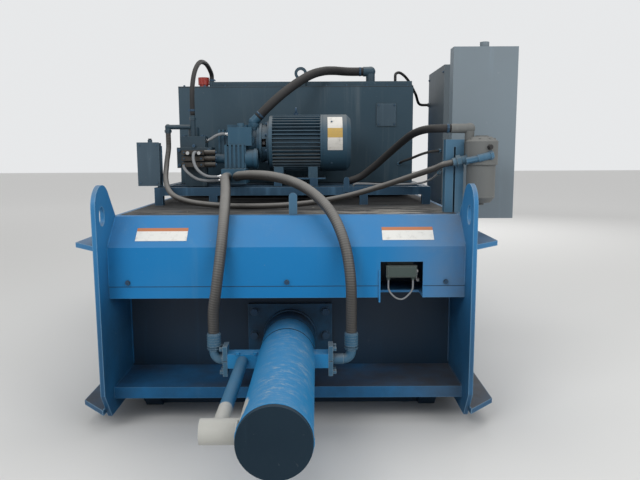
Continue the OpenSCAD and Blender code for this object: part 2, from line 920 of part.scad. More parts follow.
// Side blocks welded to the barrel, cut to its round wall.
module port_blocks() {
    color(blue)
        difference() {
            union() {
                block([-289, block_y - 40, cyl_z - 35], [-100, block_y + 40, cyl_z + 35]);
                block([100, block_y - 40, cyl_z - 35], [207, block_y + 40, cyl_z + 35]);
                for (x = [-236, -150])
                    translate([x, block_y - 38, cyl_z + 35])
                        cylinder(d = 22, h = 12, $fn = 6);
            }
            translate([0, 0, cyl_z])
                along_y(barrel_r, block_y - 100, block_y + 100);
        }
}

// Split flange, elbow and hose ferrule on the +X side; s mirrors it, x is the face it bolts to.
module hose_end(x, fx) {
    translate([x, block_y, cyl_z]) {
        difference() {
            block([0, -42, -75], [22, 42, 75]);
            block([-1, -43, -2], [23, -24, 2]);
        }
        for (y = [-1, 1])
            for (z = [-1, 1])
                translate([22, y * 26, z * 58])
                    rotate([0, 90, 0])
                        cylinder(d = 24, h = 16, $fn = 6);
        along_x(27, 20, fx - x - 40);
    }
    translate([fx - 40, block_y, cyl_z + 40])
        rotate([90, 0, 0])
            rotate_extrude(angle = -90)
                translate([40, 0])
                    circle(r = 24, $fn = 32);
    translate([fx, block_y, cyl_z + 38]) {
        cylinder(r = 24, h = 12);
        translate([0, 0, 8])
            cylinder(d = 60, h = 22, $fn = 6);
        translate([0, 0, 30])
            cylinder(r = 33, h = 516 - cyl_z - 68);
    }
}

module hose_fittings() {
    color(light_blue) {
        hose_end(207, right_fit_x);
        mirror([1, 0, 0])
            hose_end(289, -left_fit_x);
    }
}

module cap_pipe() {
    color(grey_primer)
        translate([0, 0, cyl_z]) {
            difference() {
                translate([0, y_port, 0])
                    along_x(boss_d / 2, -boss_x, -100);
                along_y(barrel_r, y_cap, y_port + 100);
                translate([0, y_port, 0])
                    along_x(18, -boss_x + 40, -90);
            }
            translate([-pipe_x, 0, 0])
                along_y(pipe_d / 2, y_port, block_y - 40);
        }
}

module limit_switch() {
    x0 = notch_x + 32;
    z0 = notch_z - 83;
    color([0.35, 0.42, 0.38]) {
        block([x0, y_cover + 14, z0], [x0 + 153, y_cover + 60, z0 + 60]);
        block([x0 + 8, y_cover + 10, z0 + 6], [x0 + 145, y_cover + 14, z0 + 54]);
        for (x = [12, 137])
            translate([x0 + x, y_cover + 34, z0 - 14])
                cylinder(r = 10, h = 15);
    }
    color(dark_blue) {
        block([x0 + 10, y_cover + 60, z0 + 4], [x0 + 140, y_cover + 66, notch_z + 40]);
        block([x0 + 10, y_cover + cover_t, notch_z + 34], [x0 + 140, y_cover + 66, notch_z + 40]);
    }
}

module switch_lever() {
    x0 = notch_x + 32;
    z0 = notch_z - 83;
    color(steel)
        translate([x0 + 153 + seat, y_cover + 38, z0 + 30]) {
            along_x(12, 0, 8);
            rotate([-60, 0, 0])
                block([2, 0, -6], [7, 60, 6]);
            rotate([-60, 0, 0])
                translate([7, 60, 0])
                    along_x(11, -1, 12);
        }
}

module unit_frame() {
    x = unit_w / 2;
    y1 = tank_y + tank_d;
    color(blue) {
        difference() {
            block([-x, unit_y, rail_z - rail_h], [x, y1, rail_z]);
            block([-x + 50, unit_y + 50, rail_z - rail_h - 1], [x - 50, motor_y - 60, rail_z + 1]);
            block([-x + 50, motor_y - 10, rail_z - rail_h - 1], [x - 50, motor_y + 140, rail_z + 1]);
            block([-x + 50, motor_y + 190, rail_z - rail_h - 1], [x - 50, y1 - 50, rail_z + 1]);
        }
        for (lx = [-x, -520, 420, x - 50])
            for (ly = [unit_y, y1 - 50])
                block([lx, ly, deck_z], [lx + 50, ly + 50, rail_z - rail_h]);
        // Motor stool of two folded plates.
        for (sx = [motor_x + 30, motor_end - 80])
            block([sx, motor_y - 150, rail_z], [sx + 50, motor_y + 150, motor_z - motor_d / 2 - 48]);
        block([motor_x - 10, motor_y - 150, motor_z - motor_d / 2 - 48],
            [motor_end + 20, motor_y + 150, motor_z - motor_d / 2 - 40]);
        // Upright lug on the front rail.
        translate([320, unit_y - 8, rail_z - 30])
            block([0, 0, 0], [33, 8, 74]);
        translate([336.5, unit_y, rail_z + 44])
            rotate([90, 0, 0])
                cylinder(r = 16.5, h = 8);
    }
}

module tank() {
    color(dark_blue) {
        difference() {
            block([tank_x, tank_y, rail_z], [tank_x + tank_w, tank_y + tank_d, rail_z + tank_h]);
            block([tank_x + tank_t, tank_y + tank_t, rail_z + tank_t],
                [tank_x + tank_w - tank_t, tank_y + tank_d - tank_t, rail_z + tank_h + 1]);
        }
        block([572, tank_y - 6, rail_z + 392], [710, tank_y, rail_z + 551]);
    }
}

module tank_lid() {
    z = rail_z + tank_h;
    color(dark_blue)
        difference() {
            union() {
                block([tank_x, tank_y, z], [tank_x + tank_w, tank_y + tank_d, z + 6]);
                block([filler_x + 71, tank_y + 40, z + 5],
                    [tank_x + tank_w - 4, tank_y + tank_d - 40, z + 40]);
                // Suction elbow, return stub and conduit stub.
                translate([elbow_x, 1185, z + 39])
                    cylinder(r = 32, h = elbow_z - z - 39);
                translate([elbow_x, 1185, elbow_z])
                    sphere(r = 36, $fn = 48);
                translate([0, 1185, elbow_z])
                    along_x(34, elbow_x - 52, elbow_x);
                translate([return_stub_x, 1100, z + 5])
                    cylinder(r = 18, h = 1892 - z - 5);
                translate([conduit_stub_x, 1240, z + 5])
                    cylinder(r = 13, h = 1902 - z - 5);
                // Lifting loop at the front edge of the lid.
                translate([43, tank_y + 28, z + 5])
                    rotate([90, 0, 0])
                        linear_extrude(12)
                            difference() {
                                union() {
                                    translate([-30, 0])
                                        square([60, 66]);
                                    translate([0, 88])
                                        circle(r = 44);
                                }
                                translate([0, 88])
                                    circle(r = 24);
                            }
            }
            translate([filler_x, tank_y + 90, z - 1])
                cylinder(r = filler_d / 2 - 14, h = 9);
        }
}

module filler_cap() {
    z = rail_z + tank_h + 6 + seat;
    color([0.5, 0.1, 0.08])
        translate([filler_x, tank_y + 90, z])
            difference() {
                union() {
                    cylinder(r = filler_d / 2 - 8, h = 20);
                    translate([0, 0, 18])
                        cylinder(d = filler_d, h = 50);
                    translate([0, 0, -7])
                        cylinder(r = filler_d / 2 - 15, h = 9);
                }
                for (a = [0:30:330])
                    rotate([0, 0, a])
                        translate([filler_d / 2, 0, 30])
                            cylinder(r = 3, h = 40);
            }
}

module fin_ring() {
    for (i = [0:fin_n - 1])
        rotate(i * 360 / fin_n)
            translate([motor_d / 2 - 30, -2])
                square([30, 4]);
}

module motor_body() {
    color(blue)
        translate([motor_x, motor_y, motor_z]) {
            difference() {
                union() {
                    translate([20, 0, 0])
                        rotate([90, 0, 90])
                            linear_extrude(motor_len - 30) {
                                circle(r = motor_d / 2 - 27, $fn = 96);
                                fin_ring();
                            }
                    along_x(motor_d / 2 - 6, 0, 22);
                    along_x(motor_d / 2 - 4 - seat, motor_len - 14, motor_len);
                }
                along_x(motor_d / 2 - 60, -1 + 12, motor_len - 12);
                along_x(shaft_d / 2 + seat, -2, motor_len + 2);
            }
            // Cast feet.
            for (y = [-1, 1])
                for (x = [30, motor_len - 90])
                    translate([x, y * 95 - 40, -motor_d / 2 - 40])
                        cube([60, 80, 70]);
            // Terminal box on the far side.
            translate([motor_len / 2 - 60, motor_d / 2 - 20, -40])
                cube([120, 80, 120]);
        }
}

module motor_cowl() {
    color(blue)
        translate([motor_end, motor_y, motor_z])
            difference() {
                rotate([0, 90, 0])
                    rotate_extrude($fn = 96)
                        polygon([
                            [motor_d / 2 - 4, seat - 10], [motor_d / 2, seat - 10], [motor_d / 2, cowl_len - 24],
                            [motor_d / 2 - 24, cowl_len], [0, cowl_len], [0, cowl_len - 4],
                            [motor_d / 2 - 26, cowl_len - 4], [motor_d / 2 - 4, cowl_len - 26]
                        ]);
                for (r = [1:4])
                    for (i = [0:6 * r - 1])
                        rotate([i * 60 / r, 0, 0])
                            translate([cowl_len - 10, 0, r * (motor_d / 2 - 34) / 4.2])
                                rotate([0, 90, 0])
                                    cylinder(r = 9, h = 20, $fn = 16);
            }
}

module motor_shaft() {
    color(steel)
        translate([0, motor_y, motor_z]) {
            along_x(shaft_d / 2, bell_x + 12, motor_end + 70);
            along_x(52, bell_x + 14, bell_x + 30);
            along_x(52, bell_x + 38, bell_x + 56);
            for (a = [0:60:300])
                rotate([a, 0, 0])
                    translate([bell_x + 28, -8, 28])
                        cube([12, 16, 20]);
        }
}

module motor_fan() {
    color([0.12, 0.12, 0.13])
        translate([motor_end + 30, motor_y, motor_z])
            difference() {
                union() {
                    along_x(40, 0, 40);
                    along_x(130, 0, 5);
                    for (a = [0:40:320])
                        rotate([a, 0, 0])
                            translate([0, -2, 36])
                                cube([48, 4, 94]);
                }
                along_x(shaft_d / 2 + run_gap, -1, 50);
            }
}

module bellhousing() {
    color(blue)
        translate([bell_x, motor_y, motor_z])
            difference() {
                union() {
                    along_x(bell_d / 2, 0, bell_len);
                    along_x(bell_d / 2 + 25, bell_len - 14, bell_len);
                    along_x(bell_d / 2 + 8, 0, 14);
                }
                along_x(bell_d / 2 - 14, 12, bell_len + 1);
                along_x(shaft_d / 2 + seat, -1, 13);
                block([16, -160, -26], [44, 160, 26]);
            }
}

// Piston pump with its rounded case, rear cover, ports and adjuster.
module pump() {
    color(blue)
        translate([bell_x, motor_y, motor_z]) {
            difference() {
                union() {
                    along_x(105, -18, 0);
                    along_x(86, -120, -18);
                    translate([-150, 0, 0])
                        rotate([0, 90, 0])
                            rotate_extrude()
                                polygon([[0, 0], [66, 0], [92, 24], [92, 60], [0, 60]]);
                    block([-146, -78, -96], [-56, 78, -60]);
                    block([-262, -60, -72], [-148, 60, 78]);
                    for (x = [-268:26:-164])
                        block([x, -68, -80], [x + 12, 68, 86]);
                    block([-212, -46, 84], [-128, 46, 118]);
                    translate([-112, 0, 60])
                        cylinder(r = 30, h = 58);
                    translate([-180, 0, 30])
                        rotate([90, 0, 0])
                            cylinder(r = 24, h = 86);
                    translate([-60, 0, 20])
                        rotate([90, 0, 0])
                            cylinder(r = 28, h = 106);
                }
                along_x(shaft_d / 2 + seat, -17, 14);
            }
            // Suction flange on top, where the suction hose starts.
            translate([-45, 0, 60])
                cylinder(r = 32, h = 78);
            translate([-45, 0, 138]) {
                sphere(r = 33, $fn = 48);
                rotate([0, 45, 0])
                    cylinder(r = 32, h = 42.4);
            }
            translate([-45, 0, 104])
                rotate([0, 0, 30])
                    cylinder(d = 78, h = 22, $fn = 6);
        }
    color(blue)
        block([-440, 470, 1205], [-290, motor_y - 40, 1296]);
    // Control block with its ribs, round end, top housing and plug.
    color(blue) {
        block([-420, motor_y - 70, 1296], [-310, motor_y + 40, motor_z - 90]);
        block([-436, 590, 1290], [-300, 690, 1436]);
        for (x = [-432:27:-312])
            block([x, 582, 1300], [x + 13, 698, 1446]);
        translate([0, 640, 1358]) {
            along_x(58, -305, bell_x - 8);
            along_x(65, bell_x - 34, bell_x - 14);
            along_x(30, -500, -430);
        }
        block([-412, 600, 1440], [-262, 688, 1556]);
        translate([-335, 645, 1550])
            cylinder(r = 24, h = 32);
    }
    color([0.55, 0.55, 0.5])
        for (p = [[-400, 1248], [-330, 1252]])
            translate([p[0], 440, p[1]])
                rotate([-90, 0, 0])
                    cylinder(r = 29, h = 30);
}

module valve_manifold() {
    color(dark_blue) {
        block([-740, 600, 1300], [-520, 740, 1430]);
        block([-720, 610, 1430], [-560, 730, 1500]);
        block([-700, 640, rail_z], [-560, 700, 1300]);
        translate([-640, 670, 1500])
            cylinder(r = 34, h = 60);
    }
    color(steel) {
        translate([-640, 640, 1499])
            cylinder(r = 17, h = 133);
        translate([-640, 640, 1604])
            cylinder(d = 46, h = 16, $fn = 6);
        translate([0, 640, 1560])
            along_x(15, -800, -655);
        translate([-800, 640, 1560])
            sphere(r = 19, $fn = 32);
        translate([-800, 640, 1520])
            cylinder(r = 18, h = 40);
        translate([-800, 640, 1526])
            cylinder(d = 46, h = 16, $fn = 6);
    }
}

module solenoid_valves() {
    for (i = [0:2]) {
        z = 1320 + i * 38;
        color([0.16, 0.17, 0.18]) {
            block([-700, 545, z - 12], [-560, 600, z + 16]);
            translate([-560, 572, z + 2])
                rotate([0, 90, 0])
                    cylinder(r = 15, h = 70);
        }
    }
}

module return_filter() {
    z = bowl_z + filter_h;
    color([0.4, 0.38, 0.35])
        translate([filter_x, filter_y, z]) {
            translate([0, 0, -150])
                cylinder(r = bowl_d / 2 + 10, h = 120);
            translate([0, 0, -30])
                cylinder(r1 = bowl_d / 2 + 10, r2 = 50, h = 24);
            translate([0, 0, -6])
                cylinder(d = 70, h = 6, $fn = 6);
            // Mounting pad against the post, inlet stub and outlet elbow.
            block([post_x + post_w - filter_x, 34, -140], [-40, 78, -40]);
            translate([0, 0, -105])
                rotate([0, -103, 0])
                    cylinder(r = 22, h = 155.7);
            translate([0, 0, -105])
                rotate([0, -103, 0])
                    translate([0, 0, 112])
                        cylinder(d = 62, h = 22, $fn = 6);
            translate([-56, 40, -60])
                cylinder(r = 25, h = 1520 - z + 60);
            translate([-56, 40, 1520 - z])
                sphere(r = 29, $fn = 32);
            translate([0, 40, 1520 - z])
                along_x(25, 870 - filter_x, -56);
        }
}

module filter_bowl() {
    color([0.42, 0.41, 0.38])
        translate([filter_x, filter_y, bowl_z])
            rotate_extrude($fn = 64)
                polygon([
                    [0, 0], [20, 0], [20, 10], [bowl_d / 2 - 22, 14], [bowl_d / 2, 40],
                    [bowl_d / 2, filter_h - 150 - seat], [0, filter_h - 150 - seat]
                ]);
}

module equipment_posts() {
    z1 = 1462;
    color(light_blue) {
        for (x = [post_x, post_x + 54])
            block([x, -60, deck_z], [x + 44, 0, z1]);
        block([post_x, -60, z1 - 40], [post_x + post_w, 0, z1]);
        // Arm from the posts to the back of the operator panel, and its feet on the stiffener.
        block([post_x + post_w - 44, -1, 1380], [post_x + post_w - 4, panel_y - 6, 1420]);
        block([post_x + post_w - 44, panel_y - 6, 1360], [panel_x + 120, panel_y, 1440]);
        for (y = [panel_y + 4, panel_y + panel_d - 44])
            block([panel_x + 10, y, wing_high_z], [panel_x + 60, y + 40, panel_z]);
        // Hose post on the deck edge, with a round head.
        translate([7, y_slope_end + 20, deck_z])
            cube([43, 12, 96]);
        translate([28.5, y_slope_end + 32, deck_z + 96])
            rotate([90, 0, 0])
                cylinder(r = 21.5, h = 12);
        // Feet under the starter cabinet.
        for (y = [cabinet_y + 20, cabinet_y + cabinet_w - 70])
            block([hw + 20, y, wing_high_z], [cabinet_x + 190, y + 50, cabinet_z]);
        // Upright that carries the junction box on the base frame.
        block([-unit_w / 2, 560, rail_z], [-unit_w / 2 + 34, 570, 1440]);
    }
}

// Sheet box with its open side along +Y.
module open_box_y(a, b, t) {
    difference() {
        block(a, b);
        block(a + [t, t, t], [b[0] - t, b[1] + 1, b[2] - t]);
    }
}

module panel_knuckle(x, y, z, h) {
    difference() {
        translate([x, y, z])
            cylinder(r = small_knuckle_r, h = h);
        translate([x, y, z - 1])
            cylinder(r = small_pin_r + run_gap, h = h + 2);
    }
}

module panel_box() {
    x1 = panel_x + panel_w;
    y1 = panel_y + panel_d;
    color(light_blue) {
        open_box_y([panel_x, panel_y, panel_z], [x1, y1, panel_z + panel_h], sheet_t);
        for (z = [panel_z + 120, panel_z + panel_h - 160]) {
            panel_knuckle(x1 + small_knuckle_r, y1, z - 21, 20);
            translate([x1 + small_knuckle_r, y1, z - 20])
                cylinder(r = small_pin_r, h = 60);
        }
        // Conduit hub on the top.
        translate([panel_x + panel_w / 2, panel_y + panel_d / 2, panel_z + panel_h])
            cylinder(r = 26, h = 30);
    }
    color([0.75, 0.75, 0.72])
        block([panel_x + 30, panel_y + sheet_t, panel_z + 40],
            [x1 - 30, panel_y + sheet_t + 4, panel_z + panel_h - 40]);
}

module panel_door() {
    x1 = panel_x + panel_w;
    y1 = panel_y + panel_d + seat;
    ex = panel_x + panel_w / 2;
    color(light_blue)
        difference() {
            union() {
                block([panel_x, y1, panel_z], [x1, y1 + sheet_t, panel_z + panel_h]);
                for (z = [panel_z + 120, panel_z + panel_h - 160]) {
                    panel_knuckle(x1 + small_knuckle_r, y1 - seat, z, 40);
                    block([x1 - 4, y1, z], [x1 + small_knuckle_r - 5.5, y1 + sheet_t, z + 40]);
                }
                for (z = [680, 560])
                    translate([ex, y1 + sheet_t - 1, panel_z + z])
                        rotate([-90, 0, 0])
                            cylinder(r = 24, h = 8);
            }
            for (z = [680, 560])
                translate([ex, y1 - 1, panel_z + z])
                    rotate([-90, 0, 0])
                        cylinder(r = 11 + seat, h = 30);
        }
}

module push_head(z, r, len) {
    y1 = panel_y + panel_d + seat + sheet_t;
    translate([panel_x + panel_w / 2, y1 + 7, panel_z + z])
        rotate([-90, 0, 0]) {
            translate([0, 0, -22])
                cylinder(r = 11, h = 30);
            translate([0, 0, 6])
                cylinder(r = r, h = len);
        }
}

module e_stop() {
    color([0.75, 0.08, 0.06])
        push_head(680, stop_d / 2, 22);
}

module start_button() {
    color([0.1, 0.5, 0.2])
        push_head(560, 18, 10);
}

module starter_cabinet() {
    x1 = cabinet_x + cabinet_d;
    y1 = cabinet_y + cabinet_w;
    z0 = cabinet_z;
    color(dark_blue) {
        translate([cabinet_x - 16, cabinet_y + 546, 1750])
            rotate([0, 90, 0])
                cylinder(r = 15, h = 17);
        difference() {
            block([cabinet_x, cabinet_y, z0], [x1, y1, z0 + cabinet_h]);
            block([cabinet_x + sheet_t, cabinet_y + sheet_t, z0 + sheet_t],
                [x1 + 1, y1 - sheet_t, z0 + cabinet_h - sheet_t]);
        }
        for (z = [z0 + 120, z0 + cabinet_h - 160]) {
            panel_knuckle(x1, y1 + small_knuckle_r, z - 21, 20);
            translate([x1, y1 + small_knuckle_r, z - 20])
                cylinder(r = small_pin_r, h = 60);
        }
    }
    color([0.75, 0.75, 0.72]) {
        block([cabinet_x + sheet_t, cabinet_y + 40, z0 + 50],
            [cabinet_x + sheet_t + 4, y1 - 40, z0 + cabinet_h - 50]);
        block([cabinet_x + sheet_t + 4, cabinet_y + 120, z0 + 420],
            [cabinet_x + 130, cabinet_y + 320, z0 + 640]);
        block([cabinet_x + sheet_t + 4, cabinet_y + 360, z0 + 420],
            [cabinet_x + 110, cabinet_y + 500, z0 + 620]);
    }
}

module starter_door() {
    x1 = cabinet_x + cabinet_d + seat;
    y1 = cabinet_y + cabinet_w;
    color(dark_blue)
        difference() {
            union() {
                block([x1, cabinet_y, cabinet_z], [x1 + sheet_t, y1, cabinet_z + cabinet_h]);
                for (z = [cabinet_z + 120, cabinet_z + cabinet_h - 160]) {
                    panel_knuckle(x1 - seat, y1 + small_knuckle_r, z, 40);
                    block([x1, y1 - 4, z], [x1 + sheet_t, y1 + small_knuckle_r - 5.5, z + 40]);
                }
                translate([x1 + sheet_t - 1, cabinet_y + 120, cabinet_z + 640])
                    rotate([0, 90, 0])
                        cylinder(r = 45, h = 10);
            }
            translate([x1 - 1, cabinet_y + 120, cabinet_z + 640])
                rotate([0, 90, 0])
                    cylinder(r = 10 + seat, h = 30);
        }
}

module disconnect_handle() {
    x1 = cabinet_x + cabinet_d + seat + sheet_t + 9 + seat;
    color([0.75, 0.1, 0.08])
        translate([x1, cabinet_y + 120, cabinet_z + 640]) {
            along_x(10, -14, 8);
            along_x(32, 0, 14);
            block([10, -12, -40], [26, 12, 75]);
        }
}

module junction_box() {
    color(light_blue) {
        block([-960, 490, 1195], [-829, 560, 1459]);
        block([-963, 486, 1192], [-826, 490, 1462]);
        translate([-890, 528, 1458])
            cylinder(r = 14, h = 20);
    }
}

module pressure_hose_left() {
    color(rubber_brown)
        swept_tube(left_route, main_hose_d);
}

module pressure_hose_right() {
    color(rubber_brown)
        swept_tube(right_route, main_hose_d);
}

module return_hose() {
    color(rubber_brown)
        swept_tube(return_route, return_hose_d, [0, 0.1, 1]);
}

module suction_hose() {
    color([0.12, 0.12, 0.12])
        swept_tube(suction_route, suction_hose_d);
}

module filter_hose() {
    color([0.12, 0.12, 0.12])
        swept_tube(filter_route, filter_hose_d, [0, 0.1, 1]);
}

module tank_hose() {
    color([0.12, 0.12, 0.12])
        swept_tube(tank_route, 30);
}

module control_cables() {
    color([0.7, 0.72, 0.74])
        swept_tube(switch_route, 9, [0.1, 1, 0]);
    color([0.12, 0.12, 0.12])
        swept_tube(conduit_route, 20, [0.1, 1, 0]);
}

side_plates();
side_stiffeners();
rear_cover();
hex_bolts();
floor_plate();
floor_beams();
bulkhead();
roof();
deck_plate();
fixed_knife();
hopper();
hopper_door();
hinge_pins();
cylinder_flange();
cylinder_barrel();
cylinder_cap();
cylinder_gland();
piston();
piston_rod();
rod_pin();
ram_body();
ram_platen();
ram_knife();
bale_door();
door_latch();
port_blocks();
hose_fittings();
cap_pipe();
limit_switch();
switch_lever();
unit_frame();
tank();
tank_lid();
filler_cap();
motor_body();
motor_cowl();
motor_shaft();
motor_fan();
bellhousing();
pump();
valve_manifold();
solenoid_valves();
return_filter();
filter_bowl();
equipment_posts();
panel_box();
panel_door();
e_stop();
start_button();
starter_cabinet();
starter_door();
disconnect_handle();
junction_box();
pressure_hose_left();
pressure_hose_right();
return_hose();
suction_hose();
filter_hose();
tank_hose();
control_cables();
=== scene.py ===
"""Looks of a horizontal closed-door baler with its power unit on the deck."""

import json
import logging
import math
import random
from dataclasses import dataclass, field
from enum import Enum
from itertools import product
from typing import Callable, Iterable, TypeAlias

import bmesh
import bpy
from mathutils import Matrix, Vector


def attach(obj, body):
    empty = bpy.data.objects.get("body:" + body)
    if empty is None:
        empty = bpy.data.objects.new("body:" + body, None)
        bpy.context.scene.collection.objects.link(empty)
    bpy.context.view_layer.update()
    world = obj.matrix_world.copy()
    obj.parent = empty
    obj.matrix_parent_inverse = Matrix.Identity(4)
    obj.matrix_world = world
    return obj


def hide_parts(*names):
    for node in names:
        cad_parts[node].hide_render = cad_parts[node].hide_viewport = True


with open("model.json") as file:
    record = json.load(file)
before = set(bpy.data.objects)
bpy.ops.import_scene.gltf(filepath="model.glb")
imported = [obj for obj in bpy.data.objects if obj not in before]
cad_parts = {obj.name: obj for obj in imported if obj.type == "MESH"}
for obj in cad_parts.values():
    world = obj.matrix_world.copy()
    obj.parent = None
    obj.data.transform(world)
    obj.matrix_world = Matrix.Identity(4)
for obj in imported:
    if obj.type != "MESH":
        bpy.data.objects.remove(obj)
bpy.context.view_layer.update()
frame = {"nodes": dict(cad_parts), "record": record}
NODES: dict[str, bpy.types.Object] = frame["nodes"]
LOG = logging.getLogger("baler")
MM = 0.001
# How far a bolt reaches into its seat, in millimetres.
SUNK = 0.6

Pair = tuple[float, float]
Colour = tuple[float, float, float]
Point = tuple[float, float, float]
Spot = Point | Vector
Route = list[Point] | tuple[Point, ...]
Value: TypeAlias = "Sock | float"

ACROSS: Point = (1, 0, 0)
LEFT: Point = (-1, 0, 0)
ALONG: Point = (0, 1, 0)
NEAR: Point = (0, -1, 0)
UP: Point = (0, 0, 1)

DUST: Colour = (0.185, 0.180, 0.165)
# Painted light: the pale haze laid along a ramp.
PAINTED_HAZE: Colour = (0.20, 0.215, 0.21)
SPECKS: Colour = (0.40, 0.39, 0.36)
BARE: Colour = (0.33, 0.34, 0.35)
RUBBED: Colour = (0.31, 0.36, 0.375)
SILT: Colour = (0.062, 0.050, 0.040)
# Painted shade for corners and hollows.
CORNER_SHADE: Colour = (0.022, 0.020, 0.018)
RUST: Colour = (0.16, 0.075, 0.035)
MACHINE_BLUE: Colour = (0.006, 0.148, 0.355)
COVER_BLUE: Colour = (0.005, 0.178, 0.440)
DEEP_BLUE: Colour = (0.012, 0.050, 0.105)
# Painted shade, laid towards the shaded end of a ramp.
SHADE_BLUE: Colour = (0.007, 0.020, 0.038)
LABEL_WHITE: Colour = (0.66, 0.66, 0.63)
LABEL_ORANGE: Colour = (0.42, 0.15, 0.06)
TAG_WHITE: Colour = (0.60, 0.58, 0.54)
TAG_AMBER: Colour = (0.46, 0.30, 0.07)


class Body(Enum):
    """Moving bodies that added pieces ride on."""

    FRAME = "frame"
    BALE_DOOR = "bale_door"
    PANEL_LID = "panel_lid"
    CABINET_LID = "cabinet_lid"


def operator(name: str, flipped: bool = False) -> Callable[["Sock", Value], "Sock"]:
    """Makes a method for two values.

    Args:
        name: Blender's name of the Math operation.
        flipped: puts the other value first.

    Returns:
        The method.
    """
    def method(self: "Sock", other: Value) -> "Sock":
        """Result of one Math node."""
        values = (other, self) if flipped else (self, other)
        return self.graph.sock(0, "Math", dict(enumerate(values)), operation=name)
    return method


class Sock:
    """A shader socket whose arithmetic adds Math nodes."""

    def __init__(self, graph: "Graph", socket: bpy.types.NodeSocket) -> None:
        """Keeps the graph and the socket."""
        self.graph = graph
        self.socket = socket

    __add__ = __radd__ = operator("ADD")
    __sub__ = operator("SUBTRACT")
    __rsub__ = operator("SUBTRACT", True)
    __mul__ = operator("MULTIPLY")
    lowest = operator("MINIMUM")

    def between(self, low: float, high: float) -> "Sock":
        """Stretches the span from low to high to 0 to 1, and clamps it."""
        return self.graph.sock(0, "MapRange", {"Value": self, "From Min": low, "From Max": high},
                               clamp=True, interpolation_type="SMOOTHSTEP")


class Tree:
    """A node tree that is built from short calls."""

    def __init__(self, tree: bpy.types.NodeTree) -> None:
        """Keeps the tree."""
        self.tree = tree

    def node(self, kind: str, inputs: dict, **settings: object) -> bpy.types.Node:
        """Adds a node.

        Args:
            kind: Blender's node type without its ShaderNode.
            inputs: values, sockets or Sock objects by socket name or index.
            settings: attributes that are set first.

        Returns:
            The new node.
        """
        made = self.tree.nodes.new("ShaderNode" + kind)
        for key, value in settings.items():
            setattr(made, key, value)
        for key, value in inputs.items():
            self.feed(made.inputs[key], value)
        return made

    def feed(self, target: bpy.types.NodeSocket, value: object) -> None:
        """Links or sets one input socket.

        Args:
            target: the input socket.
            value: a Sock, a socket, a number or a colour.
        """
        if isinstance(value, Sock):
            value = value.socket
        if isinstance(value, bpy.types.NodeSocket):
            self.tree.links.new(value, target)
        elif isinstance(value, tuple) and target.type == "RGBA":
            target.default_value = (*value, 1.0)
        else:
            target.default_value = value


class Graph(Tree):
    """The node tree of one material, with the colour laid so far."""

    def __init__(self, name: str) -> None:
        """Makes a material with a Principled shader.

        Args:
            name: name of the material.
        """
        self.material = bpy.data.materials.new(name)
        self.material.use_nodes = True
        super().__init__(self.material.node_tree)
        self.shader = self.tree.nodes["Principled BSDF"]
        self.place = self.node("TexCoord", {}).outputs["Object"]
        self.normal = self.node("NewGeometry", {}).outputs["Normal"]
        self.colour: Sock | Colour = DUST

    def sock(self, output: int | str, kind: str, inputs: dict, **settings: object) -> Sock:
        """Adds a node and wraps the output of that name or index."""
        return Sock(self, self.node(kind, inputs, **settings).outputs[output])

    def mapped(self, stretch: Point = (1, 1, 1), shift: float = 0.0) -> bpy.types.NodeSocket:
        """Place on the object, stretched and shifted."""
        return self.node("Mapping", {"Vector": self.place, "Scale": stretch,
                                     "Location": (shift, shift * 0.7, shift * 1.3)}).outputs[0]

    def noise(self, scale: float, detail: float, rough: float, stretch: Point = (1, 1, 1),
              shift: float = 0.0) -> Sock:
        """Noise with a number of patches per metre, its octaves and the fine ones' weight."""
        return self.sock(0, "TexNoise", {"Vector": self.mapped(stretch, shift), "Scale": scale,
                                         "Detail": detail, "Roughness": rough})

    def cells(self, scale: float) -> Sock:
        """Distance to the nearest random point, for specks and pits."""
        return self.sock("Distance", "TexVoronoi", {"Vector": self.mapped(), "Scale": scale})

    def axis(self, index: int) -> Sock:
        """One coordinate of the place on the object, in metres."""
        return self.sock(index, "SeparateXYZ", {0: self.place})

    def span(self, index: int, nil_end: float, full: float) -> Sock:
        """Ramp along one axis, 0 at the first given end and 1 at the full end, in metres."""
        ramp = self.axis(index).between(min(nil_end, full), max(nil_end, full))
        return ramp if full > nil_end else 1.0 - ramp

    def distance(self, spot: Point) -> Sock:
        """Distance from a fixed spot on the object, in metres."""
        return self.sock("Value", "VectorMath", {0: self.place, 1: spot}, operation="DISTANCE")

    def facing(self, direction: Point | bpy.types.NodeSocket) -> Sock:
        """How far the surface faces a direction, from -1 to 1."""
        return self.sock("Value", "VectorMath", {0: self.normal, 1: direction},
                         operation="DOT_PRODUCT")

    def edges(self, radius: float) -> Sock:
        """Mask that is 0 on flat faces and rises in a band of that radius along edges."""
        soft = self.node("Bevel", {"Radius": radius}, samples=6).outputs[0]
        return (1.0 - self.facing(soft)) * 4.0

    def hollows(self, reach: float) -> Sock:
        """Ambient occlusion mask that is high in corners and under overhangs, where shade falls."""
        return 1.0 - self.sock("AO", "AmbientOcclusion", {"Distance": reach}, samples=8)

    def mix(self, amount: Value, first: Sock | Colour, second: Sock | Colour) -> Sock:
        """Mix of two colours, where an amount of 0 gives the first and 1 the second."""
        return self.sock(2, "Mix", {0: amount, 6: first, 7: second}, data_type="RGBA")

    def coat(self, amount: Value, colour: Colour) -> None:
        """Lays a colour over the one laid so far."""
        self.colour = self.mix(amount, self.colour, colour)

    def bump(self, height: Sock, distance: float, strength: float) -> None:
        """Feeds the shader's normal from a height."""
        made = self.node("Bump", {"Height": height, "Distance": distance, "Strength": strength})
        self.feed(self.shader.inputs["Normal"], made.outputs[0])

    def surface(self, **inputs: object) -> None:
        """Sets the shader's colour and its other inputs, written with _ for spaces."""
        for key, value in {"Base_Color": self.colour, **inputs}.items():
            self.feed(self.shader.inputs[key.replace("_", " ")], value)


def scaled(colour: Colour, share: float) -> Colour:
    """The colour, darker or lighter by a share."""
    return tuple(c * share for c in colour)


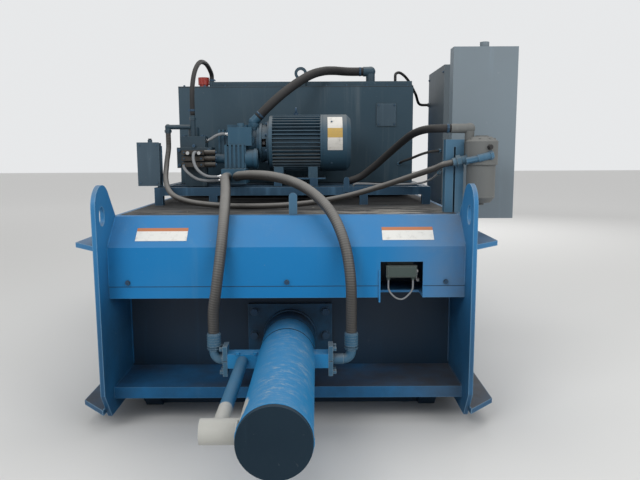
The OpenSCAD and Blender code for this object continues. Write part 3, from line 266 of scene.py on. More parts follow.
class Finish:
    """A finish that builds its own material."""

    def make(self, name: str) -> bpy.types.Material:
        """Builds the material.

        Args:
            name: name of the material.

        Returns:
            The material.
        """
        graph = Graph(name)
        self.lay(graph)
        return graph.material

    def lay(self, g: Graph) -> None:
        """Fills the graph of the material."""
        raise NotImplementedError


@dataclass(frozen=True)
class Paint(Finish):
    """Factory paint with dust on top, worn edges, painted shade in corners, and streaks.

    A patch is a ball: its middle and radius. Two ramps paint light and shade into the colour, the
    first painted shade and the second a painted haze of light;
    each is the axis, the end where it is nil, the end where it is full and the strength.
    """

    colour: Colour
    dust: float = 0.5
    wear: float = 0.5
    # Share of painted shade in corners and under overhangs.
    hollow_shade: float = 0.5
    streaks: float = 0.3
    chips: float = 0.3
    faded: Colour = (0.115, 0.26, 0.41)
    gloss: float = 0.42
    shine: float = 0.36
    edge: float = 0.006
    lumps: float = 0.0
    scuffs: float = 0.0
    patch: tuple[float, float, float, float] | None = None
    patch_colour: Colour = (0.44, 0.44, 0.41)
    # Ramp of painted shade: the colour darkens towards one end of an axis.
    shade_ramp: tuple[int, float, float, float] | None = None
    # Ramp of painted light: a pale haze grows towards one end of an axis.
    haze_ramp: tuple[int, float, float, float] | None = None

    def lay(self, g: Graph) -> None:
        """Lays the paint, the dust and stains, the painted shade and haze, the worn edges and the
        chips.

        Args:
            g: graph of the material.
        """
        broad = g.noise(1.7, 3, 0.55)
        patches = g.noise(9, 6, 0.65, shift=3.1)
        fine = g.noise(90, 5, 0.7, shift=1.7)
        runs = g.noise(14, 4, 0.6, stretch=(1.0, 1.0, 0.07), shift=5.0)
        sunned = tuple(c * 0.72 + f * 0.28 for c, f in zip(self.colour, self.faded))
        g.colour = g.mix((broad - 0.5) * 1.4 + 0.4 * self.dust, self.colour, sunned)
        if self.patch:
            away = g.distance(self.patch[:3]) + (patches - 0.5) * 0.05
            g.coat(1.0 - away.between(self.patch[3] - 0.006, self.patch[3] + 0.006),
                   self.patch_colour)
        g.coat(runs.between(0.55, 0.78) * self.streaks, self.faded)
        # Painted light: a pale haze that grows along one axis.
        if self.haze_ramp:
            haze_ramp = g.span(*self.haze_ramp[:3]) * (0.35 + patches * 0.9) * self.haze_ramp[3]
            g.coat(haze_ramp.lowest(0.9), PAINTED_HAZE)
        lit = g.facing(UP).between(0.25, 0.95)
        dusty = (lit * (0.25 + patches * 0.75) + fine.between(0.5, 0.78) * 0.12) * self.dust
        g.coat(dusty.lowest(0.92), DUST)
        if self.scuffs:
            cloud = g.noise(3.2, 5, 0.6, shift=24.0).between(0.36, 0.66)
            rub = g.noise(26, 8, 0.85, stretch=(0.6, 1.5, 0.6), shift=21.0).between(0.47, 0.66)
            rub = rub * (0.2 + cloud * 0.8) * self.scuffs
            rub = rub * g.facing((0.40, -0.1, 0.85)).between(0.1, 0.95)
            g.coat(rub.lowest(0.8), RUBBED)
        # Painted shade: the colour darkens towards one end of an axis, with settled brown silt on
        # the upward faces there.
        if self.shade_ramp:
            shading = g.span(*self.shade_ramp[:3]) * (0.6 + patches * 0.7) * self.shade_ramp[3]
            g.coat(shading.lowest(0.9), SHADE_BLUE)
            g.coat((shading * lit * broad.between(0.35, 0.6)).lowest(0.85), SILT)
        # Painted shade: ambient occlusion darkens corners and undersides, broken up in patches.
        corner_shading = g.hollows(0.09) * patches.between(0.3, 0.7) * self.hollow_shade
        g.coat(corner_shading.lowest(0.85), CORNER_SHADE)
        worn = (g.edges(self.edge) * (0.3 + patches)).between(0.25, 0.8) * self.wear
        g.coat(worn.lowest(0.9), self.faded)
        chip = g.noise(38, 5, 0.75, shift=9.0).between(0.67, 0.70) * self.chips
        g.coat(chip.lowest(0.9), BARE)
        speck = (1.0 - g.cells(55).between(0.05, 0.14)) * patches.between(0.5, 0.7)
        g.coat(speck * 0.3 * self.dust, SPECKS)
        rough = self.gloss + dusty * 0.4 + fine * 0.12 - worn * 0.08
        g.bump(patches * 0.5 + fine * 0.18 - chip * 0.4 + broad * self.lumps, 0.0012, 0.55)
        g.surface(Roughness=rough.lowest(0.95), Metallic=chip * 0.7,
                  Specular_IOR_Level=self.shine)


@dataclass(frozen=True)
class Steel(Finish):
    """Bare steel with machining lines, rust blots, scuffs and painted shade in corners."""

    colour: Colour = (0.42, 0.42, 0.43)
    rust: float = 0.3
    rough: float = 0.36
    along: Point = (1.0, 1.0, 1.0)

    def lay(self, g: Graph) -> None:
        """Lays the steel, its rust and painted shade in its corners.

        Args:
            g: graph of the material.
        """
        lines = g.noise(160, 3, 0.6, stretch=self.along)
        blot = g.noise(12, 6, 0.7, shift=2.0)
        rust = blot.between(0.52, 0.72) * self.rust
        g.colour = g.mix(lines * 0.5, self.colour, scaled(self.colour, 0.72))
        g.coat(rust, RUST)
        # Painted shade: ambient occlusion darkens corners.
        g.coat(g.hollows(0.05) * 0.6, CORNER_SHADE)
        g.bump(lines * 0.6 + blot * 0.4, 0.0006, 0.5)
        g.surface(Metallic=1.0 - rust * 0.9, Roughness=self.rough + lines * 0.16 + rust * 0.4)


@dataclass(frozen=True)
class Rubber(Finish):
    """Hose cover with a fine wrap, scuffs, and dust with a painted highlight on the upper side."""

    colour: Colour
    dust: float
    rough: float = 0.62
    wrap: float = 420.0
    dust_and_sheen: Colour = (0.105, 0.100, 0.090)

    def lay(self, g: Graph) -> None:
        """Lays the rubber, its dust with a painted highlight, and its scuffs.

        Args:
            g: graph of the material.
        """
        broad = g.noise(5, 5, 0.6)
        cloth = g.noise(self.wrap, 2, 0.5, shift=0.4)
        # Dust and a painted highlight: a pale coat on the side facing up and a little to the left
        # and front.
        lit = g.facing((-0.16, -0.14, 0.97)).between(0.0, 0.9)
        dusty = lit * (0.25 + broad * 0.8) * self.dust
        g.colour = g.mix(broad, self.colour, scaled(self.colour, 1.7))
        g.coat(dusty.lowest(0.9), self.dust_and_sheen)
        scuff = g.noise(30, 6, 0.75, shift=6.0).between(0.64, 0.70)
        g.coat(scuff * 0.45, (0.16, 0.155, 0.145))
        g.bump(cloth * 0.6 + broad * 0.5, 0.0008, 0.5)
        g.surface(Roughness=(self.rough + dusty * 0.3).lowest(0.95), Specular_IOR_Level=0.35)


@dataclass(frozen=True)
class Plastic(Finish):
    """Moulded plastic with light scratches."""

    colour: Colour
    rough: float
    dust: float = 0.2

    def lay(self, g: Graph) -> None:
        """Lays the plastic and its dust.

        Args:
            g: graph of the material.
        """
        grain = g.noise(240, 3, 0.6)
        blot = g.noise(16, 5, 0.6, shift=4.0)
        g.colour = g.mix(blot * 0.5, self.colour, scaled(self.colour, 0.7))
        g.coat(g.facing(UP).between(0.2, 0.9) * blot * self.dust * 2.0, DUST)
        g.bump(grain, 0.0003, 0.4)
        g.surface(Roughness=self.rough + blot * 0.2)


@dataclass(frozen=True)
class Deck(Finish):
    """Painted deck under years of oil, grit and paper fibre."""

    def lay(self, g: Graph) -> None:
        """Lays grit, fibre, oil, the drift at the front edge, the worn paint and painted shade in
        corners.

        Args:
            g: graph of the material.
        """
        broad = g.noise(3.0, 5, 0.65)
        grit = g.noise(60, 6, 0.75, shift=2.2)
        fibre = g.noise(34, 4, 0.7, stretch=(1.0, 0.2, 1.0), shift=8.0)
        oil = g.noise(2.2, 3, 0.5, shift=5.5)
        g.colour = g.mix(broad.between(0.3, 0.7), (0.010, 0.011, 0.013), (0.026, 0.027, 0.028))
        g.coat(grit.between(0.5, 0.75) * 0.5, (0.10, 0.093, 0.083))
        g.coat(fibre.between(0.63, 0.71) * 0.45, (0.26, 0.24, 0.21))
        g.coat(oil.between(0.6, 0.72) * 0.7, (0.012, 0.011, 0.010))
        drift = g.noise(9, 7, 0.75, stretch=(0.5, 2.0, 1.0), shift=15.0).between(0.44, 0.58)
        drift = drift * g.span(1, 0.5, -0.1) * (0.25 + g.span(0, -0.1, 0.6) * 0.75)
        g.coat(drift.lowest(0.85), (0.31, 0.295, 0.26))
        worn = g.noise(6, 6, 0.7, shift=12.0).between(0.62, 0.7)
        g.coat(worn * 0.4, (0.02, 0.07, 0.13))
        # Painted shade: ambient occlusion darkens corners and undersides.
        g.coat(g.hollows(0.12) * 0.6, CORNER_SHADE)
        g.bump(grit * 0.6 + fibre * 0.3 + broad, 0.004, 0.5)
        g.surface(Roughness=0.7 + grit * 0.2)


@dataclass(frozen=True)
class PrintedPlate(Finish):
    """Thin plate with two plain colour fields and no lettering."""

    ground: Colour
    band: Colour
    start: float
    stop: float

    def lay(self, g: Graph) -> None:
        """Lays the ground, the band between its two heights, and dirt.

        Args:
            g: graph of the material.
        """
        height = g.axis(2)
        inside = height.between(self.start - 0.0005, self.start + 0.0005) * (
            1.0 - height.between(self.stop - 0.0005, self.stop + 0.0005))
        blot = g.noise(25, 6, 0.7)
        g.colour = g.mix(inside, self.ground, self.band)
        g.coat(blot.between(0.5, 0.8) * 0.6, DUST)
        g.coat((g.edges(0.003) * blot).between(0.2, 0.6) * 0.6, (0.2, 0.2, 0.2))
        g.bump(blot, 0.0004, 0.4)
        g.surface(Roughness=0.38 + blot * 0.3)


FINISHES: dict[str, Finish] = {
    # Painted shade: the side plates darken towards their lower part.
    "plate_paint": Paint(MACHINE_BLUE, dust=0.75, wear=0.8, edge=0.012, chips=0.25,
                         streaks=0.25, faded=(0.17, 0.32, 0.46), shade_ramp=(2, 1.02, 0.42, 0.62)),
    # Painted shade on the low parts of the cover, and painted light as a pale haze towards its
    # right side.
    "cover_paint": Paint(COVER_BLUE, dust=0.26, edge=0.008, streaks=0.15, shine=0.25,
                         shade_ramp=(2, 0.66, 0.42, 0.62), haze_ramp=(0, 0.40, 0.94, 0.50)),
    "body_paint": Paint(MACHINE_BLUE, dust=0.45, wear=0.6),
    "shade_paint": Paint((0.005, 0.025, 0.053), dust=0.15, wear=0.3, chips=0.05,
                         faded=(0.010, 0.055, 0.110)),
    "deck_dirt": Deck(),
    "bolt_paint": Paint(DEEP_BLUE, dust=0.4, wear=0.9, edge=0.003, hollow_shade=0.8,
                        faded=(0.09, 0.16, 0.22)),
    # Painted shade: the barrel and its flange darken towards the bulkhead, deep in the bay.
    "cylinder_paint": Paint((0.004, 0.178, 0.400), dust=0.2, streaks=0.15, hollow_shade=0.35,
                            scuffs=0.85, patch=(-0.235, -1.215, 0.380, 0.160),
                            shade_ramp=(1, -0.42, -0.06, 0.85)),
    # Painted shade: the cap's near-black slate stands in for its blue paint in shade.
    "cap_paint": Paint((0.009, 0.022, 0.036), dust=0.15, wear=0.8, shine=0.12,
                       faded=(0.040, 0.075, 0.105)),
    "fitting_paint": Paint((0.018, 0.092, 0.165), dust=0.6, wear=1.0, edge=0.005, hollow_shade=0.8,
                           faded=(0.26, 0.33, 0.37), chips=0.8),
    "primer": Paint((0.007, 0.120, 0.240), dust=0.35, faded=(0.20, 0.28, 0.33),
                    chips=0.1, patch=(-0.225, -1.290, 0.385, 0.235)),
    "wear_steel": Steel(rust=0.35),
    "rod_chrome": Steel((0.72, 0.73, 0.74), rust=0.0, rough=0.08, along=(1.0, 0.05, 1.0)),
    "ram_steel": Paint((0.06, 0.07, 0.08), dust=0.4, wear=0.8, faded=(0.22, 0.22, 0.22), chips=0.9),
    "platen_steel": Steel((0.26, 0.26, 0.27), rust=0.6, rough=0.42, along=(1.0, 1.0, 0.1)),
    "latch_yellow": Paint((0.50, 0.30, 0.02), dust=0.4, wear=0.8, faded=(0.35, 0.28, 0.18)),
    "frame_paint": Paint((0.012, 0.048, 0.092), wear=0.6, hollow_shade=0.7),
    # Partly painted shade: the tank's blue is greyed and deepened as it looks in shade.
    "tank_paint": Paint((0.022, 0.055, 0.082), hollow_shade=0.7,
                        faded=(0.11, 0.14, 0.16), streaks=0.4),
    "cap_red": Plastic((0.33, 0.03, 0.02), 0.3),
    # Partly painted shade: the motor's deep blue is its paint as it looks in shade.
    "motor_paint": Paint((0.024, 0.066, 0.104), dust=0.8, wear=0.4, edge=0.002, hollow_shade=0.6,
                         faded=(0.10, 0.17, 0.23), streaks=0.1),
    "fan_black": Plastic((0.012, 0.012, 0.013), 0.5),
    # Partly painted shade: the pump's deep blue is its paint as it looks in shade.
    "pump_paint": Paint((0.016, 0.072, 0.125), wear=0.6, edge=0.004, hollow_shade=0.8,
                        faded=(0.11, 0.20, 0.27), lumps=0.8),
    "manifold_paint": Paint((0.016, 0.040, 0.060), wear=0.9, edge=0.003, hollow_shade=0.8,
                            faded=(0.14, 0.19, 0.22)),
    "solenoid_black": Plastic((0.030, 0.025, 0.020), 0.45, 0.6),
    "filter_cast": Paint((0.118, 0.124, 0.122), wear=0.7, edge=0.004,
                         faded=(0.30, 0.31, 0.30), gloss=0.55, chips=0.5, lumps=0.4,
                         patch=(0.895, -0.090, 1.345, 0.062), patch_colour=(0.060, 0.130, 0.190)),
    "post_paint": Paint((0.040, 0.125, 0.210), dust=0.6, wear=0.8,
                        faded=(0.16, 0.24, 0.31)),
    # Partly painted light: the door's pale grey-blue holds glare.
    "panel_paint": Paint((0.165, 0.205, 0.235), edge=0.004, streaks=0.4,
                         faded=(0.22, 0.30, 0.36)),
    # Partly painted shade: the cabinet's deep grey is how it looks in shade.
    "cabinet_paint": Paint((0.078, 0.100, 0.115), dust=0.45, wear=0.6, edge=0.004, streaks=0.4,
                           faded=(0.15, 0.19, 0.22)),
    "box_paint": Paint((0.040, 0.072, 0.100), dust=0.6, wear=0.8, edge=0.004,
                       faded=(0.16, 0.24, 0.31)),
    "switch_grey": Paint((0.040, 0.062, 0.056), dust=0.6, wear=0.8, edge=0.003,
                         faded=(0.26, 0.28, 0.27), chips=0.6),
    "button_red": Plastic((0.45, 0.02, 0.015), 0.25),
    "button_green": Plastic((0.02, 0.24, 0.06), 0.3),
    # Dust and a painted highlight: the pale coat on the brown hoses' upper side.
    "hose_brown": Rubber((0.032, 0.030, 0.028), 0.9, 0.40, dust_and_sheen=(0.250, 0.245, 0.232)),
    "hose_black": Rubber((0.012, 0.012, 0.013), 0.35),
    "cable_grey": Rubber((0.16, 0.17, 0.18), 0.4, 0.5, 900.0),
}


def add_object(name: str, data: bpy.types.ID) -> bpy.types.Object:
    """Puts data into the scene as a new object.

    Args:
        name: name of the object.
        data: its mesh, lamp or camera.

    Returns:
        The object.
    """
    obj = bpy.data.objects.new(name, data)
    bpy.context.scene.collection.objects.link(obj)
    return obj


def smooth_path(points: Route, steps: int = 6) -> list[Vector]:
    """Runs a smooth line through the points, with straight first and last stretches.

    Args:
        points: points in millimetres.
        steps: points made for each stretch.

    Returns:
        Points in metres.
    """
    knots = [Vector(p) * MM for p in points]
    slopes = [b - a for a, b in zip(knots[:-2], knots[2:])]
    slopes[0] = knots[1] - knots[0]
    slopes[-1] = knots[-1] - knots[-2]
    slopes = [slopes[0], *slopes, slopes[-1]]
    line = [knots[0]]
    for a, b, leave, arrive in zip(knots, knots[1:], slopes, slopes[1:]):
        first = leave.normalized() * (b - a).length
        second = arrive.normalized() * (b - a).length
        for k in range(1, steps + 1):
            t = k / steps
            line.append(a * (2 * t**3 - 3 * t**2 + 1) + first * (t**3 - 2 * t**2 + t)
                        + b * (3 * t**2 - 2 * t**3) + second * (t**3 - t**2))
    return line


def even_path(line: list[Vector], step: float) -> list[Vector]:
    """Spaces points evenly along a line.

    Args:
        line: points in metres.
        step: distance between two points in millimetres.

    Returns:
        Points in metres, with the same two ends.
    """
    runs = [0.0]
    for a, b in zip(line, line[1:]):
        runs.append(runs[-1] + (b - a).length)
    count = max(2, round(runs[-1] / (step * MM)))
    spots = [line[0]]
    k = 0
    for i in range(1, count):
        want = runs[-1] * i / count
        while runs[k + 1] < want:
            k += 1
        spots.append(line[k].lerp(line[k + 1], (want - runs[k]) / (runs[k + 1] - runs[k])))
    spots.append(line[-1])
    return spots


def line_ends(line: Route) -> list[tuple[Vector, Vector]]:
    """Both ends of a line, each with the direction into it."""
    pairs = ((line[0], line[1]), (line[-1], line[-2]))
    return [(Vector(near), (Vector(far) - Vector(near)).normalized()) for near, far in pairs]


def turned(axis: Spot) -> Matrix:
    """Rotation that turns Z onto an axis."""
    return Vector(axis).to_track_quat("Z", "Y").to_matrix()


@dataclass
class Shape:
    """A piece that is put together from simple forms, in millimetres.

    Its slot's finish is used unless a material is given, and it rides on its body.
    """

    name: str
    slot: str
    body: Body = Body.FRAME
    smooth: bool = False
    material: bpy.types.Material | None = None
    mesh: bmesh.types.BMesh = field(default_factory=bmesh.new)

    def row(self, spots: list[Vector]) -> list[bmesh.types.BMVert]:
        """Adds vertices at spots in millimetres."""
        return [self.mesh.verts.new(spot * MM) for spot in spots]

    def circle(self, spot: Vector, side: Vector, other: Vector, radius: float,
               count: int) -> list[bmesh.types.BMVert]:
        """Adds vertices on a circle in the plane of two directions."""
        turns = [2 * math.pi * k / count for k in range(count)]
        return self.row([spot + (side * math.cos(a) + other * math.sin(a)) * radius for a in turns])

    def skin(self, rows: list[list[bmesh.types.BMVert]], closed: bool = False) -> None:
        """Joins rows of vertices with faces.

        Args:
            rows: rounds of vertices, one after the other.
            closed: joins the last round to the first; otherwise both ends get a cap.
        """
        for near, far in zip(rows, rows[1:] + rows[:1] if closed else rows[1:]):
            count = len(near)
            for k in range(count):
                self.mesh.faces.new((near[k], near[(k + 1) % count], far[(k + 1) % count], far[k]))
        if not closed:
            self.mesh.faces.new(rows[0])
            self.mesh.faces.new(rows[-1])

    def block(self, low: Spot, high: Spot, bevel: float) -> None:
        """Adds a box between two corners.

        Args:
            low: lowest corner.
            high: highest corner.
            bevel: width of the rounded edges.
        """
        size = (Vector(high) - Vector(low)) * MM
        centre = (Vector(high) + Vector(low)) * MM / 2
        made = bmesh.ops.create_cube(self.mesh, size=1.0, matrix=Matrix.Translation(centre)
                                     @ Matrix.Diagonal((*size, 1.0)))
        rims = list({edge for vert in made["verts"] for edge in vert.link_edges})
        bmesh.ops.bevel(self.mesh, geom=rims, offset=bevel * MM, segments=2, affect="EDGES",
                        profile=0.5)

    def rod(self, start: Spot, end: Spot, radius: float, sides: int = 24) -> None:
        """Adds a closed cylinder.

        Args:
            start: middle of the first end.
            end: middle of the second end.
            radius: its radius.
            sides: number of sides.
        """
        a, b = Vector(start) * MM, Vector(end) * MM
        bmesh.ops.create_cone(self.mesh, cap_ends=True, segments=sides, radius1=radius * MM,
                              radius2=radius * MM, depth=(b - a).length,
                              matrix=Matrix.Translation((a + b) / 2) @ turned(b - a).to_4x4())

    def ring(self, centre: Spot, axis: Spot, radius: float, thick: float, sides: int = 48,
             wobble: float = 0.0, seed: int = 1) -> None:
        """Adds a torus, such as a weld bead or a clamp.

        Args:
            centre: middle of the ring.
            axis: direction of its axis.
            radius: radius of its centre line.
            thick: radius of its section.
            sides: steps around the ring.
            wobble: share by which the section varies.
            seed: seed of the variation.
        """
        dice = random.Random(seed)
        turn = turned(axis)
        rows = []
        for i in range(sides):
            a = 2 * math.pi * i / sides
            size = thick * (1 + wobble * (dice.random() - 0.5) * 2)
            out = turn @ Vector((math.cos(a), math.sin(a), 0))
            rows.append(self.circle(Vector(centre) + out * radius, out, turn.col[2], size, 8))
        self.skin(rows, closed=True)

    def tube(self, line: list[Vector], radius: float, sides: int, pitch: float = 0.0,
             ridge: float = 0.0) -> None:
        """Adds a closed tube along a line.

        Args:
            line: points of the centre line, in metres.
            radius: its radius.
            sides: number of sides.
            pitch: pitch of a spiral wrap, or 0 for a plain tube.
            ridge: height of the wrap.
        """
        last = len(line) - 1
        side = Vector((0.31, 0.17, 0.93))
        rows = []
        run = 0.0
        for i, spot in enumerate(line):
            before = line[max(i - 1, 0)]
            ahead = (line[min(i + 1, last)] - before).normalized()
            side = (side - ahead * side.dot(ahead)).normalized()
            other = ahead.cross(side)
            run += (spot - before).length / MM
            row = []
            for k in range(sides):
                a = 2 * math.pi * k / sides
                wrap = ridge * math.sin(2 * math.pi * run / pitch + a) if pitch else 0.0
                out = side * math.cos(a) + other * math.sin(a)
                row.append(self.mesh.verts.new(spot + out * (radius + wrap) * MM))
            rows.append(row)
        self.skin(rows)

    def bead(self, start: Spot, end: Spot, size: float, pitch: float, seed: int) -> None:
        """Adds a straight weld bead with its ripple.

        Args:
            start: first end of the seam.
            end: other end of the seam.
            size: radius of the bead.
            pitch: distance from ripple to ripple.
            seed: seed of the ripple's variation.
        """
        dice = random.Random(seed)
        a, b = Vector(start), Vector(end)
        way = (b - a).normalized()
        side = way.orthogonal().normalized()
        other = way.cross(side)
        steps = max(2, int((b - a).length / pitch))
        rows = []
        for i in range(steps + 1):
            reach = size * (0.55 if i in (0, steps) else 0.85 + 0.3 * dice.random())
            spot = a + (b - a) * i / steps
            rows.append(self.circle(spot, side, other, reach, 6))
        self.skin(rows)

    def bolt(self, spot: Spot, axis: Spot, across: float, washer: bool = True) -> None:
        """Adds a hexagon head on its washer, standing on a face.

        Args:
            spot: middle of the seat.
            axis: direction out of the face.
            across: size across the flats.
            washer: adds the washer.
        """
        out = Vector(axis).normalized()
        base = Vector(spot) - out * SUNK
        thick = across * 0.12 if washer else 0.0
        if washer:
            self.rod(base, base + out * (thick + SUNK), across * 0.68, 20)
        self.rod(base, base + out * (thick + across * 0.62), across * 0.577, 6)
        self.rod(base, base + out * (thick + across * 0.68), across * 0.42, 16)

    def bolts(self, spots: Iterable[Spot], axis: Spot, across: float,
              washer: bool = True) -> None:
        """Adds the same bolt at several spots."""
        for spot in spots:
            self.bolt(spot, axis, across, washer)


class Shop:
    """Makes the finishes and puts shapes on a body."""

    def __init__(self) -> None:
        """Builds every finish once."""
        self.finishes = {name: finish.make(name) for name, finish in FINISHES.items()}
        self.waiting: list[Shape] = []

    def dress_nodes(self) -> None:
        """Gives each CAD node the finish of its material slot."""
        slots = {row["node"]: row["material_slot"] for row in frame["record"]["subparts"]}
        for name, obj in NODES.items():
            finish = self.finishes[slots[name]]
            if not obj.data.materials:
                obj.data.materials.append(finish)
            for index in range(len(obj.data.materials)):
                obj.data.materials[index] = finish
        LOG.info("dressed %d nodes", len(NODES))

    def start(self, name: str, slot: str, *settings: Body, **more: object) -> Shape:
        """Starts a shape that is placed once its assembly is built."""
        self.waiting.append(Shape(name, slot, *settings, **more))
        return self.waiting[-1]

    def place(self, shape: Shape) -> bpy.types.Object:
        """Turns a shape into a piece of the scene.

        Args:
            shape: the finished shape.

        Returns:
            The new object.
        """
        bmesh.ops.recalc_face_normals(shape.mesh, faces=shape.mesh.faces)
        data = bpy.data.meshes.new(shape.name)
        shape.mesh.to_mesh(data)
        shape.mesh.free()
        data.polygons.foreach_set("use_smooth", [shape.smooth] * len(data.polygons))
        obj = add_object(shape.name, data)
        data.materials.append(shape.material or self.finishes[shape.slot])
        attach(obj, shape.body.value)
        LOG.info("piece %s: %d faces", shape.name, len(data.polygons))
        return obj

    def place_waiting(self) -> None:
        """Places the shapes that were started, in their order."""
        for shape in self.waiting:
            self.place(shape)
        self.waiting.clear()


@dataclass
class Assembly:
    """A sub-assembly that makes its pieces through the shop."""

    shop: Shop

    def build(self) -> None:
        """Makes the pieces."""
        raise NotImplementedError


@dataclass
class Hose:
    """One hose or cable that runs from fitting to fitting."""

    name: str
    node: str
    diameter: float
    points: Route
    slot: str
    stiffness: str = "stiff"
    clamps: bool = False
    pitch: float = 0.0

    def build(self, shop: Shop) -> None:
        """Args:
            shop: maker of the pieces.
        """
        line = smooth_path(self.points)
        shape = Shape(self.name, self.slot, smooth=True)
        if self.pitch:
            shape.tube(even_path(line, self.pitch / 6), self.diameter / 2, 24, self.pitch,
                       self.pitch * 0.03)
        else:
            shape.tube(line, self.diameter / 2, 20)
        hose = shop.place(shape)
        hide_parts(self.node)
        if self.clamps:
            self.add_clamps(shop, line)

    def add_clamps(self, shop: Shop, line: list[Vector]) -> None:
        """Adds a worm-drive clamp near each end.

        Args:
            shop: maker of the pieces.
            line: centre line in metres.
        """
        radius = self.diameter / 2
        clamps = Shape(f"{self.name}_clamps", "bolt_paint")
        for a, b in ((line[1], line[3]), (line[-4], line[-2])):
            way = (b - a).normalized()
            middle = (a + b) / 2
            for shift in (-4.5, -1.5, 1.5, 4.5):
                clamps.ring((middle + way * shift * MM) / MM, way, radius + 0.4, 1.9, 36)
            out = way.cross(Vector((0.0, 0.35, 1.0))).normalized()
            spot = middle / MM + out * (radius + 5)
            over = way.cross(out) * 11
            clamps.rod(spot - over, spot + over, 5.0, 12)
        shop.place(clamps)


LEFT_ROUTE: Route = [
    (-400, 440, 1248), (-400, 370, 1248), (-389, 260, 1241), (-367, 130, 1226),
    (-340, -55, 1187), (-324, -195, 1132), (-317, -298, 1062), (-318, -372, 965),
    (-327, -418, 855), (-342, -443, 730), (-358, -450, 605), (-358, -450, 516)]
RIGHT_ROUTE: Route = [
    (-330, 440, 1252), (-330, 380, 1252), (-300, 280, 1261), (-215, 160, 1270),
    (-90, 40, 1265), (40, -82, 1235), (145, -195, 1177), (228, -300, 1092), (284, -385, 970),
    (310, -430, 845), (320, -450, 700), (320, -450, 516)]
RETURN_ROUTE: Route = [
    (-800, 640, 1520), (-800, 640, 1450), (-803, 585, 1335), (-785, 470, 1225),
    (-725, 355, 1150), (-610, 275, 1111), (-430, 210, 1094), (-200, 172, 1090),
    (50, 176, 1101), (290, 190, 1137), (510, 150, 1199), (690, 35, 1268), (790, -62, 1310),
    (831, -90, 1331), (874, -90, 1341)]
SUCTION_ROUTE: Route = [
    (-231, 740, 1625), (-187, 740, 1669), (-130, 754, 1724), (-62, 788, 1785), (22, 846, 1853),
    (118, 935, 1918), (203, 1030, 1952), (275, 1105, 1964), (348, 1163, 1966),
    (420, 1185, 1966), (488, 1185, 1966)]
FILTER_ROUTE: Route = [
    (330, 545, 1206), (400, 530, 1230), (495, 483, 1296), (585, 404, 1382), (655, 300, 1453),
    (703, 188, 1498), (752, 62, 1518), (820, -50, 1520), (870, -50, 1520)]
TANK_ROUTE: Route = [
    (-640, 640, 1632), (-640, 640, 1730), (-638, 710, 1890), (-622, 830, 1985),
    (-601, 960, 1996), (-587, 1075, 1953), (-585, 1100, 1920), (-585, 1100, 1892)]
SWITCH_ROUTE: Route = [
    (515, -316, 756), (515, -316, 716), (540, -322, 672), (580, -326, 655), (616, -322, 676),
    (640, -316, 716), (640, -316, 756)]
CONDUIT_ROUTE: Route = [
    (725, 1240, 1902), (725, 1240, 1944), (760, 1272, 1968), (830, 1340, 1925),
    (900, 1415, 1830), (962, 1480, 1750), (1006, 1480, 1750)]


@dataclass
class Hoses(Assembly):
    """All hoses and cables of the part."""

    runs: tuple[Hose, ...] = (
        Hose("main_hose_left", "pressure_hose_left", 54, LEFT_ROUTE, "hose_brown", pitch=12),
        Hose("main_hose_right", "pressure_hose_right", 54, RIGHT_ROUTE, "hose_brown", pitch=12),
        Hose("oil_return_hose", "return_hose", 32, RETURN_ROUTE, "hose_brown", pitch=10),
        Hose("oil_suction_hose", "suction_hose", 60, SUCTION_ROUTE, "hose_black", clamps=True),
        Hose("oil_filter_hose", "filter_hose", 44, FILTER_ROUTE, "hose_black", clamps=True),
        Hose("oil_tank_hose", "tank_hose", 30, TANK_ROUTE, "hose_black", clamps=True),
        Hose("switch_cable", "control_cables", 9, SWITCH_ROUTE, "cable_grey", "medium"),
        Hose("cabinet_conduit", "control_cables", 20, CONDUIT_ROUTE, "hose_black", "medium"))

    def build(self) -> None:
        """Makes every run."""
        for run in self.runs:
            run.build(self.shop)


@dataclass
class CylinderEnd(Assembly):
    """Weld beads and bands of the hydraulic cylinder."""

    axis_z: float = 385.0
    radius: float = 140.0
    cap_y: float = -1345.0
    flange_y: float = -52.0
    boss_x: float = -139.0
    block_y: float = -450.0
    block_half: float = 40.0
    block_rise: float = 35.0
    band_y: float = -205.0
    band_wide: float = 9.0

    def build(self) -> None:
        """Adds the round welds, those of the port blocks and the bands."""
        z = self.axis_z
        welds = self.shop.start("cylinder_welds", "cylinder_paint", smooth=True)
        welds.ring((0, self.cap_y, z), ALONG, self.radius - 0.5, 4.0, 140, 0.22, 5)
        welds.ring((0, self.flange_y, z), ALONG, self.radius + 2, 6.0, 120, 0.2, 6)
        welds.ring((self.boss_x, self.cap_y + 54, z), ACROSS, 49.0, 4.5, 60, 0.25, 7)
        ends = (self.block_y - self.block_half, self.block_y + self.block_half)
        levels = (z - self.block_rise, z + self.block_rise)
        for side in (-1, 1):
            x = side * math.sqrt(self.radius**2 - self.block_rise**2)
            for level in levels:
                welds.bead((x, ends[0], level), (x, ends[1], level), 4.0, 9.0, int(level))
            for y in ends:
                welds.bead((x, y, levels[0]), (x, y, levels[1]), 4.0, 9.0, 9)
        bands = self.shop.start("barrel_bands", "cap_paint")
        for y in (ends[1] + 4, self.band_y):
            bands.rod((0, y, z), (0, y + self.band_wide, z), self.radius + 1.4, 96)


